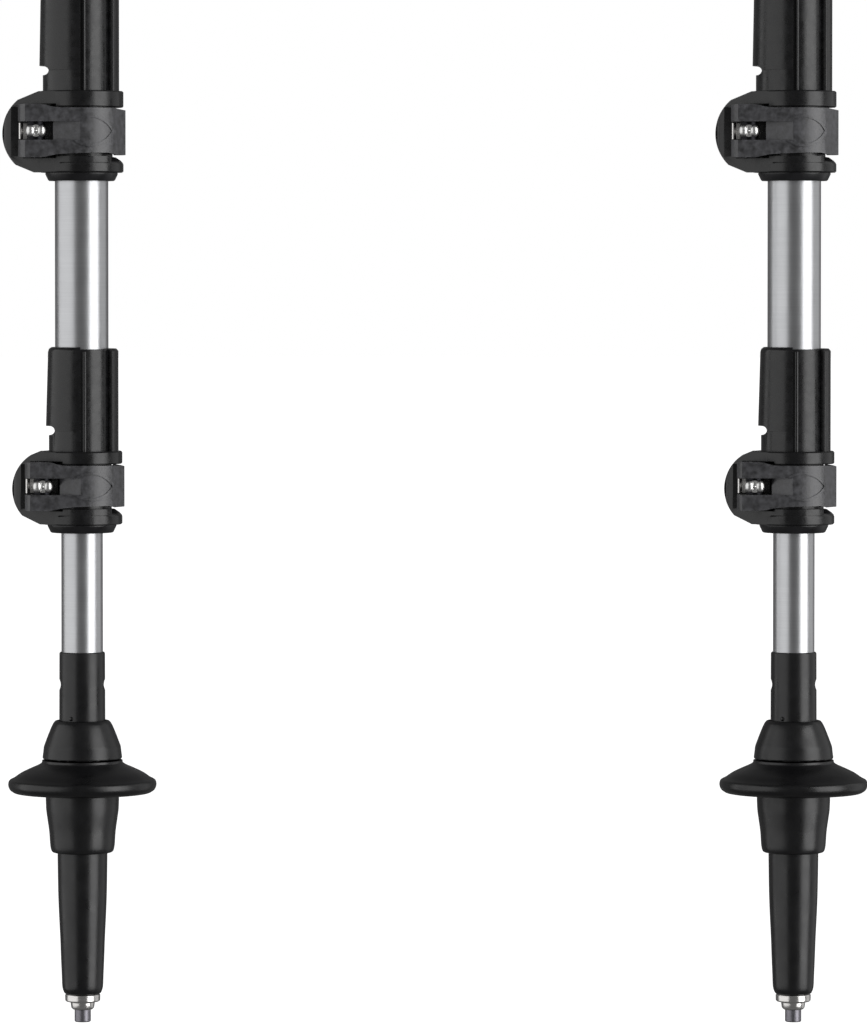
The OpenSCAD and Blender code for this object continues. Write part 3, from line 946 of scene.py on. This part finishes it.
def make_clamp_body(s):
    """Two rings, two split ears and the long sleeve, all one moulding."""
    w, r, top, bore = s["waist"], s["ring"], s["seat"], s["liner"] + 0.03
    throat = 0.6 * (w - bore)
    body = turned(
        "clamp",
        [
            (bore - 1, 2.8),
            (r - 0.45, 2.8),
            (r, 3.2),
            (r, 5.5),
            (r - 0.25, 6.1),
            (r - 0.9, 6.8),
            (w + 0.5, 7.9),
            (w - throat, 8.1),
            (w - throat, 9.8),
            (w, 10.1),
            (w, s["ring_z"] - 0.9),
            (w - throat, s["ring_z"] - 0.8),
            (w - throat, s["ring_z"]),
            (r - 0.35, s["ring_z"]),
            (r, s["ring_z"] + 0.35),
            (r, top - 0.4),
            (r - 0.4, top),
            (bore - 1, top),
        ],
    )
    # ears: a round plate that runs tangentially out of the rings
    x0 = 3 - s["reach"]
    plan = slab(
        "plan",
        hull_of(
            [
                (0, 0, r - 0.3),
                (x0 + 1.2, 4.2 - EAR_FRONT, 4.2),
                (x0, EAR_BACK - 3, 3),
            ],
            64,
        ),
        1,
        top + 4,
    )
    cx, cz = s["ear_r"] - s["reach"], s["mid"] - s["ear_drop"]
    disc = rod("disc", s["ear_r"], (cx, -40, cz), (cx, 40, cz), 128)
    bite(disc, block("web", (cx, -39, 3), (10, 39, top - 0.2)), "UNION")
    slope = block("slope", (-30, -45, -20), (20, 45, 0))
    slope.rotation_euler = (0, math.radians(s["ear_foot"][1]), 0)
    slope.location = Vector((-r - 0.3, 0, s["ear_foot"][0])) * MM
    bite(disc, settle(slope))
    slope = block("slope", (-30, -45, 0), (20, 45, 20))
    slope.rotation_euler = (0, -math.radians(22), 0)
    slope.location = Vector((-r, 0, top - 0.1)) * MM
    bite(disc, settle(slope))
    bite(disc, block("crown", (-50, -45, top - 0.2), (50, 45, top + 30)))
    bite(disc, block("base", (-50, -45, -20), (50, 45, 3)))
    bite(plan, disc, "INTERSECT")
    soften(plan, 0.7, 3, 40)
    bite(body, plan, "UNION")
    # sleeve: a round core, the thick shell on the left and the flange on the right
    core = turned(
        "core",
        [
            (s["outer"] - 0.5, top - 0.5),
            (s["sleeve"] - 1.45, top - 0.5),
            (s["sleeve"] - 1.45, top + s["sleeve_h"] - 1.1),
            (s["sleeve"] - 1.7, top + s["sleeve_h"] - 0.7),
            (s["outer"] - 0.5, top + s["sleeve_h"] - 0.7),
        ],
    )
    bite(body, core, "UNION")
    shell_r, end = s["left"], top + s["sleeve_h"]
    shell = turned(
        "shell",
        [
            (s["outer"] - 0.4, top - 0.6),
            (shell_r, top - 0.6),
            (shell_r, s["notch"]),
            (shell_r, s["notch"] + 0.02),
            (shell_r, end - 1.6),
            (shell_r - 0.3, end - 0.6),
            (shell_r - 1.1, end),
            (s["outer"] - 0.4, end),
        ],
    )
    # over the notch the shell stands out to the left, most just over it
    for vertex in shell.data.vertices:
        x, y, z = vertex.co / MM
        if z > s["notch"] + 0.01 and math.hypot(x, y) > s["outer"] and x < 0:
            up = (z - s["notch"]) / (end - s["notch"])
            out = s["shell_foot"] + (s["shell_top"] - s["shell_foot"]) * up
            vertex.co.x -= out * (-x / shell_r) * MM
    bite(shell, block("half", (-0.5, -40, 0), (40, 40, 120)))
    soften(shell, 0.55, 4, 50)
    bite(body, shell, "UNION")
    flange = turned(
        "flange",
        [
            (s["outer"] - 0.3, top - 0.55),
            (s["sleeve"] + 0.35, top - 0.55),
            (s["sleeve"] + 0.35, end - 1.3),
            (s["sleeve"] - 0.35, end - 0.5),
            (s["outer"] - 0.3, end - 0.45),
        ],
    )
    wedge = [(0, 0)] + [
        (60 * math.cos(math.radians(a)), 60 * math.sin(math.radians(a)))
        for a in (-33, 0, 30, 60, 92)
    ]
    bite(flange, slab("wedge", wedge, 0, 120), "INTERSECT")
    soften(flange, 0.4, 3, 50)
    bite(body, flange, "UNION")
    # bead along the foot of the shell's edge
    line = s["sleeve"] - 1.55
    bead = rod("bead", 0.75, (0.8, -line, top - 0.5), (0.8, -line, end - 1.5), 32)
    bite(body, bead, "UNION")
    # bores for the liner and the larger tube
    bite(body, rod("bore", bore, (0, 0, 1), (0, 0, top), 96))
    bite(body, rod("seat", s["outer"] + 0.03, (0, 0, top - 0.01), (0, 0, end + 3), 96))
    # room for the lever in front of the ears and round the waist
    gap = s["ring_z"] - 8.2
    bite(body, block("front", (-60, -60, 8.2), (-7, -EAR_FRONT, 8.2 + gap)))
    room = turned(
        "room",
        [(w, 8.22), (60, 8.22), (60, s["ring_z"] - 0.02), (w, s["ring_z"] - 0.02)],
    )
    bite(room, block("keep", (-70, -EAR_FRONT, 0), (-2, 70, 60)))
    bite(body, room)
    pocket = rod(
        "pocket",
        CAM_R + 0.8,
        (s["bolt_x"], BARREL_Y, 7.5),
        (s["bolt_x"], BARREL_Y, 10.3 + s["lever_h"]),
        96,
    )
    bite(body, pocket)
    # slit between the ears, its relief notch, bolt hole and the seat of the nut
    bite(body, block("slit", (-60, -0.9, -1), (0, 0.9, s["notch"] - 0.4)))
    notch_x = 1.6 - s["left"] - 1.2
    ends = [(notch_x + polar(1.6, a)[0], s["notch"] + polar(1.6, a)[1]) for a in range(-90, 91, 9)]
    ends += [(notch_x - 20, s["notch"] + 1.6), (notch_x - 20, s["notch"] - 1.6)]
    bite(body, upright("notch", ends, 30))
    x, z = s["bolt_x"], s["mid"]
    bite(body, rod("hole", 2.1, (x, -20, z), (x, 20, z)))
    bite(body, rod("recess", 5.2, (x, EAR_BACK, z), (x, EAR_BACK + 20, z), 64))
    raised(body, s)
    on_both_poles(
        smooth(body), [s["which"] + "_clamp_body"], CLAMP_NYLON
    )


def make_liner(s):
    """The flanged split bush that grips the tube; its lip shows under the clamp."""
    r, bore = s["liner"], s["tube"] + 0.1
    liner = turned(
        "liner",
        [
            (bore, 0.3),
            (bore + 0.3, 0),
            (r + s["lip"] - 0.4, 0),
            (r + s["lip"], 0.3),
            (r + s["lip"] + 0.95, 2.3),
            (r + s["lip"] + 0.85, 2.75),
            (r, 2.75),
            (r, s["seat"] - 0.5),
            (bore, s["seat"] - 0.5),
        ],
    )
    bite(liner, block("slit", (-60, -0.9, -1), (0, 0.9, 100)))
    raised(liner, s)
    on_both_poles(smooth(liner), [s["which"] + "_clamp_liner"], ACETAL)


def lever_plan(s, proud=0.0):
    """Outline of the lever from above: the cam, its flat front, the bent arm and the flat of the
    finger tab."""
    r, x, wall = s["lever"], s["bolt_x"], 2.9
    inner = r - wall
    front = math.degrees(math.asin((r + CAM_Y) / CAM_R))
    start = math.degrees(math.asin((inner + CAM_Y) / CAM_R))
    steps = 40
    cam = []
    for k in range(steps + 1):
        turn = -start + (180 + start + front) * k / steps
        dx, dy = polar(CAM_R, turn)
        cam.append((x + dx, CAM_Y + dy))
    rim = [polar(r + proud, a) for a in range(-90, -43, 2)]
    tab = [polar(r + 0.1 + proud, a) for a in (-6, 0, 6, 12, 18, 24)]
    back = [polar(inner, a) for a in range(24, -91, -3)]
    return rim + tab + back + cam + ([(x, -r - proud)] if proud else [])


def make_lever(s):
    """The cam lever. Its hinge block stands over and under the arm, a window lets the bolt show and
    runs out in a ramp, and a plain lens-shaped pad stands a little proud of the arm."""
    r, h, x, foot, mid = s["lever"], s["lever_h"], s["bolt_x"], LEVER_FOOT, s["mid"]
    lever = slab("lever", lever_plan(s), foot - 1.6, foot + h + 1.6)
    front = [
        (x - 8, h + 0.9), (x - 4, h + 1.15), (x + 1.2, h + 1.15), (x + 3, h + 0.95),
        (x + 4.7, h + 0.5), (x + 6.6, h + 0.12), (x + 9, h), (11, h - 0.05), (12.6, h - 0.3),
        (20, h - 1.5), (20, -0.15), (10.9, -0.15), (10.2, 0.1), (9, 0.42), (4, 0.4), (-2, 0.2),
        (x + 9, 0), (x + 6.6, -0.2), (x + 4.7, -0.6), (x + 3, -0.98), (x + 1.2, -1.15),
        (x - 4, -1.15), (x - 8, -0.9),
    ]
    bite(lever, upright("front", [(a, b + foot) for a, b in front]), "INTERSECT")
    # lens-shaped pad
    pad = slab("pad", lever_plan(s, 0.4), mid - 8, mid + 8)
    wide, tall, centre = 8.1, 0.345 * h, 3.1
    arch = (wide**2 + tall**2) / (2 * tall)
    spread = math.degrees(math.asin(wide / arch))
    lens = []
    for k in range(25):
        dx, dz = polar(arch, 90 - spread + 2 * spread * k / 24)
        lens.append((centre + dx, mid + dz - arch + tall))
    lens += [(a, 2 * mid - b) for a, b in lens[::-1]][1:-1]
    bite(pad, upright("lens", lens), "INTERSECT")
    bite(lever, pad, "UNION")
    rim = slab("rim", lever_plan(s, 2), mid - 8, mid + 8)
    inset = [(centre + (a - centre) * 0.87, mid + (b - mid) * 0.82) for a, b in lens]
    bite(rim, upright("inset", inset), "INTERSECT")
    bite(rim, slab("skin", lever_plan(s, 0.1), mid - 9, mid + 9))
    bite(lever, rim)
    # window, cut through at the hinge, and the ramp that runs out of it
    half = s["window"] / 2
    bite(lever, block("window", (x - 12, -30, mid - half), (x + 5.7, 0, mid + half)))
    ramp = [(x + 5.5, -r - 3), (-0.5, -r - 3), (-0.5, -r - 0.1), (x + 5.5, -r + 2.8)]
    bite(lever, slab("ramp", ramp, mid - half, mid + half))
    bite(lever, rod("eye", 3.05, (x, BARREL_Y, -5), (x, BARREL_Y, 40), 64))
    edit(lever)
    bpy.ops.mesh.select_all(action="SELECT")
    bpy.ops.mesh.remove_doubles(threshold=0.02 * MM)
    bpy.ops.mesh.dissolve_limited(angle_limit=math.radians(0.4))
    leave()
    soften(lever, 0.28, 3, 35)
    raised(lever, s)
    on_both_poles(
        smooth(lever), [s["which"] + "_lever"], LEVER_NYLON
    )


def make_hinge_metal(s):
    """The cross barrel that the lever turns on, the bolt with its slotted dome, the plate under the cam
    and the knurled nut behind."""
    x, mid = s["bolt_x"], s["mid"]
    tall = s["lever_h"] / 2 + 0.65
    barrel = rod("barrel", 3, (x, BARREL_Y, mid - tall), (x, BARREL_Y, mid + tall), 64)
    soften(barrel, 0.35, 3)
    for way in (-1, 1):
        floor_z = mid + way * (tall - 0.3)
        bite(barrel, rod("dimple", 0.9, (x, BARREL_Y, floor_z), (x, BARREL_Y, mid + way * 20)))
    bite(barrel, rod("hole", 2.05, (x, -30, mid), (x, 0, mid)))
    raised(barrel, s)
    on_both_poles(
        smooth(barrel), [s["which"] + "_pivot_barrel"], BLACK_STEEL
    )
    # bolt: a domed end slotted into two round lobes, with a punched point between them
    front = BARREL_Y - 3.7
    lobes = []
    for way in (-1, 1):
        bpy.ops.mesh.primitive_uv_sphere_add(segments=40, ring_count=20, radius=MM)
        lobe = bpy.context.object
        lobe.scale = (1.6, 1.5, 2.2)
        lobe.location = Vector((x + way * 1.75, front + 1.5, mid)) * MM
        lobes.append(settle(lobe))
    dome = rod("bolt", 2.6, (x, front + 1.1, mid), (x, front + 2.2, mid), 48)
    soften(dome, 0.3)
    dome = welded("bolt", [dome] + lobes)
    bpy.ops.mesh.primitive_uv_sphere_add(segments=20, ring_count=10, radius=0.6 * MM)
    bpy.context.object.location = Vector((x, front + 0.7, mid)) * MM
    point = settle(bpy.context.object, "point")
    shank = rod("shank", 2, (x, front + 1.2, mid), (x, EAR_BACK + 5.3, mid), 40)
    soften(shank, 0.3)
    bolt = welded("bolt", [dome, point, shank])
    raised(bolt, s)
    on_both_poles(
        smooth(bolt), [s["which"] + "_tension_bolt"], SATIN_STEEL
    )
    # plate, turned up at its outer edge in a round bend
    y, half = EAR_FRONT, s["window"] / 2 - 0.35
    edge = [(x + 2.8, -y - 0.05), (x + 2.8, -y - 0.8), (x - 4.4, -y - 0.8), (x - 4.6, -y - 1.1)]
    edge += [(x - 4.6, -y - 3.1)]
    bend = [polar(0.6, 22.5 * k) for k in range(9)]
    edge += [(x - 5.2 + dx, -y - 3.2 - dy) for dx, dy in bend]
    edge += [(x - 5.8, -y - 0.6), (x - 5.5, -y - 0.15), (x - 5.2, -y - 0.05)]
    plate = slab("plate", edge, mid - half, mid + half)
    soften(plate, 0.12, 2, 50)
    bite(plate, rod("hole", 2.1, (x, -y - 3, mid), (x, 0, mid)))
    raised(plate, s)
    on_both_poles(
        smooth(plate), [s["which"] + "_pressure_plate"], BRIGHT_STEEL
    )
    # knurled nut
    nut_r, nut_h, teeth = 4.6, 4.4, 24
    outline = []
    for k in range(teeth):
        for part, size in ((0.0, nut_r), (0.3, nut_r), (0.5, nut_r - 0.45), (0.8, nut_r - 0.45)):
            outline.append(polar(size, (k + part) * 360 / teeth))
    nut = slab("nut", outline, 0, nut_h)
    waist = turned(
        "waist",
        [(0.05, -0.1), (nut_r - 0.7, -0.1), (nut_r + 0.1, 0.75), (nut_r + 0.1, nut_h - 0.75)]
        + [(nut_r - 0.7, nut_h + 0.1), (0.05, nut_h + 0.1)],
        64,
        bored=False,
    )
    bite(nut, waist, "INTERSECT")
    bite(nut, rod("thread", 2.06, (0, 0, -1), (0, 0, 8), 48))
    nut.rotation_euler = (-math.pi / 2, 0, 0)
    nut.location = Vector((x, EAR_BACK + 0.1, mid)) * MM
    settle(nut)
    raised(nut, s)
    on_both_poles(
        smooth(nut, 30), [s["which"] + "_adjuster_nut"], ZINC_STEEL
    )


# ---------------------------------------------------------------- grip and strap

GRIP_R = 14.6
# place of the strap pin's middle behind the pole's axis, and its height
STRAP_PIN = (8.0, (low_z("strap_pin") + high_z("strap_pin")) / 2)
STRAP_PIN_R = 2
UPPER_R = radius("upper_tube") + 0.03


def make_grip():
    """The foam grip: a long swell for the palm with a band of ring grooves, its ends ground round."""
    low, high = low_z("grip"), high_z("grip")
    swell = (0.4, -0.1, 0.9, 1.6, 1.1, -0.2, -0.4, 0.5, 0.6)
    points = [(GRIP_R + d, low + n * (high - low) / 8) for n, d in enumerate(swell)]
    course = flowing(points, 10)[4:-4]
    corners = []
    for n, (r, z) in enumerate(course):
        grooved = 0.27 < (z - low) / (high - low) < 0.8
        corners.append((r - 0.95 if grooved and n % 4 == 0 else r - 0.03, z))
    foot, crown = corners[0], corners[-1]
    corners = (
        [(UPPER_R, low), (foot[0] - 2.6, low), (foot[0] - 1.2, low + 0.5)]
        + corners
        + [(crown[0] - 1.2, high - 0.5), (crown[0] - 2.6, high), (UPPER_R, high)]
    )
    grip = turned("grip", corners, 96)
    soften(grip, 0.5, 3, 25)
    on_both_poles(smooth(grip, 50), ["grip"], FOAM)


def make_grip_collar():
    z, high = low_z("grip_collar"), high_z("grip_collar")
    r = UPPER_R
    collar = turned(
        "collar",
        [(r, z), (r + 1.6, z), (r + 2.0, z + 0.3)]
        + flowing([(r + 2.6, z + 0.9), (r + 3.3, z + 3), (GRIP_R - 0.7, z + 5.6)], 5)
        + [(GRIP_R - 0.4, z + 6), (GRIP_R - 0.25, high - 0.4), (GRIP_R - 0.6, high), (r, high)],
    )
    on_both_poles(
        smooth(soften(collar, 0.2)), ["grip_collar"], CLAMP_NYLON
    )


def swing_slot(name, half, eye):
    """Room for the strap behind its pin."""
    y, z = STRAP_PIN
    outline = [(-4.6, 1.2), (3.6, 32), (45, 32), (45, -22), (0.8, -4.7)]
    slot = slab(name, [(y + a, z + b) for a, b in outline], -half, half)
    slot.rotation_euler = (math.pi / 2, 0, math.pi / 2)
    settle(slot)
    return bite(slot, rod("eye", eye, (-half, y, z), (half, y, z), 48), "UNION")


def make_grip_head():
    """The head for the palm: round at its foot and longer from front to back at its top."""
    z, high = low_z("grip_head"), high_z("grip_head")
    width = [(14.9, 0.0), (15.1, 0.6), (15.6, 3), (16.9, 9), (17.4, 14), (17.3, 19), (15.7, 24)]
    width += [(13.3, 29), (10.4, 33), (6.2, 36), (2.4, 37.1), (0.3, high - z)]
    head = turned(
        "head",
        [(UPPER_R, z + 11.9), (UPPER_R, z)] + [(r, z + t) for r, t in flowing(width, 4)],
        96,
        bored=False,
    )
    longer = [(0, 1.0), (14, 1.0), (19, 1.04), (24, 1.22), (29, 1.33), (33, 1.42), (36, 1.6), (40, 1.6)]
    centre = z * MM

    def at(t, table):
        for (a, u), (b, v) in zip(table, table[1:]):
            if t <= b:
                return u + (v - u) * (t - a) / (b - a)
        return table[-1][1]

    for vertex in head.data.vertices:
        if math.hypot(vertex.co.x, vertex.co.y) > (UPPER_R + 0.1) * MM or vertex.co.z > (z + 12) * MM:
            t = (vertex.co.z - centre) / MM
            shift = at(max(t, 0), [(0, 0), (14, 0), (24, -1.0), (40, -1.0)])
            vertex.co.y = vertex.co.y * at(max(t, 0), longer) + shift * MM
    bite(head, swing_slot("slot", 12, 5.4))
    soften(head, 0.6, 3, 40)
    y, pin_z = STRAP_PIN
    bite(head, rod("bore", 2.03, (-24, y, pin_z), (24, y, pin_z), 40))
    on_both_poles(smooth(head), ["grip_head"], HEAD_RUBBER)


def make_strap_pin():
    y, z = STRAP_PIN
    pin = rod("strap_pin", STRAP_PIN_R, (-15.5, y, z), (15.5, y, z), 48)
    soften(pin, 0.3, 2)
    on_both_poles(smooth(pin), ["strap_pin"], ZINC_STEEL)


# width and thickness of the webbing
STRAP_W, STRAP_T = 22.0, 1.8
# middle of the loop's bend behind the pole's axis and below the pin, and its radius
LOOP = (52.0, -120.0, 29.0)
# where the webbing is sewn together, behind and below the pin
KNEE = (15.5, -3.0)


def strap_course():
    """The closed course of the webbing's middle, as (y, height) points: round the pin, pinched at the
    knee, and down round the loop."""
    y0, z0 = STRAP_PIN
    kx, kz = y0 + KNEE[0], z0 + KNEE[1]
    lx, lz, r = LOOP[0], z0 + LOOP[1], LOOP[2]
    up = math.degrees(math.atan2(kz - z0, kx - y0))
    down = math.degrees(math.atan2(lz - kz, lx - kx))
    eye = [(y0 + polar(3.2, up + a)[0], z0 + polar(3.2, up + a)[1]) for a in range(95, 266, 17)]
    near = [(kx + polar(1.3, up - 90)[0], kz + polar(1.3, up - 90)[1])]
    far = [(kx + polar(1.3, up + 90)[0], kz + polar(1.3, up + 90)[1])]
    lean = math.degrees(math.asin((r - 3.2) / math.hypot(lx - kx, lz - kz)))
    bend = [
        (lx + polar(r, down - 90 - lean + a)[0], lz + polar(r, down - 90 - lean + a)[1])
        for a in [k * (180 + 2 * lean) / 22 for k in range(23)]
    ]
    hang_near, hang_far = [], []
    for share in (0.12, 0.3, 0.5, 0.7, 0.86):
        for side, out in ((-1, hang_near), (1, hang_far)):
            a = down + side * (90 + lean)
            p = (kx + polar(3.2, a)[0], kz + polar(3.2, a)[1])
            q = (lx + polar(r, a)[0], lz + polar(r, a)[1])
            out.append((p[0] + (q[0] - p[0]) * share, p[1] + (q[1] - p[1]) * share))
    return eye + near + hang_near + bend + hang_far[::-1] + far


def make_strap():
    """The wrist strap: one length of polyester webbing, sewn to itself at the knee."""
    course = strap_course()
    n = len(course)
    fine = []
    for i in range(n):
        a, b, c, d = (course[(i + k) % n] for k in (-1, 0, 1, 2))
        fine += flowing([a, b, c, d], 6)[6:12]
    across, along = 8, len(fine)
    bpy.ops.mesh.primitive_grid_add(x_subdivisions=across, y_subdivisions=along, size=1)
    strap = bpy.context.object
    run = [0.0]
    for i in range(along):
        run.append(run[-1] + math.dist(fine[i], fine[(i + 1) % along]))
    for vertex in strap.data.vertices:
        k = round((vertex.co.y + 0.5) * along)
        y, z = fine[k % along]
        vertex.co = Vector((vertex.co.x * STRAP_W, y, z)) * MM
    cloth_map = strap.data.uv_layers[0].data
    for corner in cloth_map:
        k = round(corner.uv.y * along)
        corner.uv = (corner.uv.x * STRAP_W, run[k])
    edit(strap)
    bpy.ops.mesh.select_all(action="SELECT")
    bpy.ops.mesh.remove_doubles(threshold=2e-6)
    leave()
    apply(strap, "SOLIDIFY", thickness=STRAP_T * MM, offset=0.0)
    soften(strap, 0.55, 3, 60)
    outward(strap)
    on_both_poles(smooth(strap, 50), ["wrist_strap"], WEBBING)


for node_name in ("lower_tube", "middle_tube", "upper_tube"):
    make_tube(node_name)
make_pin()
make_ferrule()
make_tip()
make_basket()
make_collar()
LOCKS = [lock_sizes("lower"), lock_sizes("upper")]
for sizes in LOCKS:
    make_clamp_body(sizes)
    make_liner(sizes)
    make_lever(sizes)
    make_hinge_metal(sizes)
make_grip_collar()
make_grip()
make_grip_head()
make_strap_pin()
make_strap()

# ---------------------------------------------------------------- CAD nodes that stay


def keep(names, material):
    """Gives CAD nodes that show as they are their material."""
    for side in SIDES:
        for name in names:
            mesh = frame["nodes"][side + "_" + name].data
            mesh.materials.clear()
            mesh.materials.append(material)


keep(["lower_tube_guide", "middle_tube_guide"], ACETAL)

# ---------------------------------------------------------------- floor, light and camera


PAIR_X = 0.12  # between the poles, in metres
DRAWN_OUT = 0.62  # how far the points go down with both sections drawn out, in metres


def stage_plane():
    """A plain pale floor of paper, lit evenly, which isn't mirrored in the poles. It lies where the
    points reach with both sections drawn out, so that it hides nothing of them."""
    bpy.ops.mesh.primitive_plane_add(
        size=60, location=(PAIR_X, 25, FOOT_Z - DRAWN_OUT)
    )
    floor = settle(bpy.context.object, "floor")
    material, place = blank(
        "floor_paper",
        Roughness=0.9,
        Emission_Color=linear("ffffff"),
        Emission_Strength=1.0,
    )
    # the paper's tone changes over about 400 mm
    tone = node(
        material,
        "ShaderNodeTexNoise",
        None,
        {
            "Vector": place.outputs["Object"],
            "Scale": 1 / (400 * MM),
            "Detail": 1.0,
            "Roughness": 0.55,
        },
    ).outputs["Fac"]
    patterned(material, tone, ("f6f6f6", "fafafa"))
    floor.data.materials.append(material)
    floor.visible_glossy = False
    floor.visible_diffuse = False


def soft_box(name, azimuth, distance, width, height, strength, lift=0.0):
    """A soft box that faces the poles. Azimuth 0 is the camera's side and 90 the right."""
    light = bpy.data.lights.new(name, "AREA")
    light.shape, light.size, light.size_y = "RECTANGLE", width, height
    light.energy = strength * width * height
    box = bpy.data.objects.new(name, light)
    bpy.context.scene.collection.objects.link(box)
    a = math.radians(azimuth)
    target = Vector((PAIR_X, 0, FOOT_Z + 0.3))
    box.location = target + Vector(
        (math.sin(a) * distance, -math.cos(a) * distance, lift)
    )
    box.rotation_euler = (target - box.location).to_track_quat("-Z", "Y").to_euler()


def light_and_camera():
    scene = bpy.context.scene
    world = bpy.data.worlds.new("studio")
    scene.world = world
    world.use_nodes = True
    tree = world.node_tree
    tree.nodes.clear()
    seen = tree.nodes.new("ShaderNodeBackground")
    seen.inputs["Color"].default_value = (1, 1, 1, 1)
    seen.inputs["Strength"].default_value = 1.0
    room = tree.nodes.new("ShaderNodeBackground")
    room.inputs["Color"].default_value = (1, 1, 1, 1)
    room.inputs["Strength"].default_value = 0.14
    path = tree.nodes.new("ShaderNodeLightPath")
    mix = tree.nodes.new("ShaderNodeMixShader")
    out = tree.nodes.new("ShaderNodeOutputWorld")
    tree.links.new(path.outputs["Is Camera Ray"], mix.inputs[0])
    tree.links.new(room.outputs[0], mix.inputs[1])
    tree.links.new(seen.outputs[0], mix.inputs[2])
    tree.links.new(mix.outputs[0], out.inputs[0])
    soft_box("left_wall", -72, 3.0, 5.4, 4.0, 2.9, 0.3)
    soft_box("right_box", 57, 3.0, 2.4, 4.0, 8.6, 0.3)
    soft_box("right_edge", 112, 3.0, 2.2, 4.0, 1.4, 0.3)
    camera = bpy.data.cameras.new("camera")
    camera.lens, camera.sensor_width = 208.7, 36
    # the lens looks a little down from between the clamps, with the frame shifted down
    camera.shift_y = -0.1
    seat = bpy.data.objects.new("camera", camera)
    scene.collection.objects.link(seat)
    axes = [POLE[side].translation for side in SIDES]
    seat.location = (
        (axes[0].x + axes[1].x) / 2 - 0.0015,
        axes[0].y - 2.0,
        FOOT_Z + 0.255,
    )
    seat.rotation_euler = (math.radians(90 - 1.3803), 0, 0)
    scene.camera = seat
    scene.view_settings.view_transform = "Standard"


stage_plane()
light_and_camera()
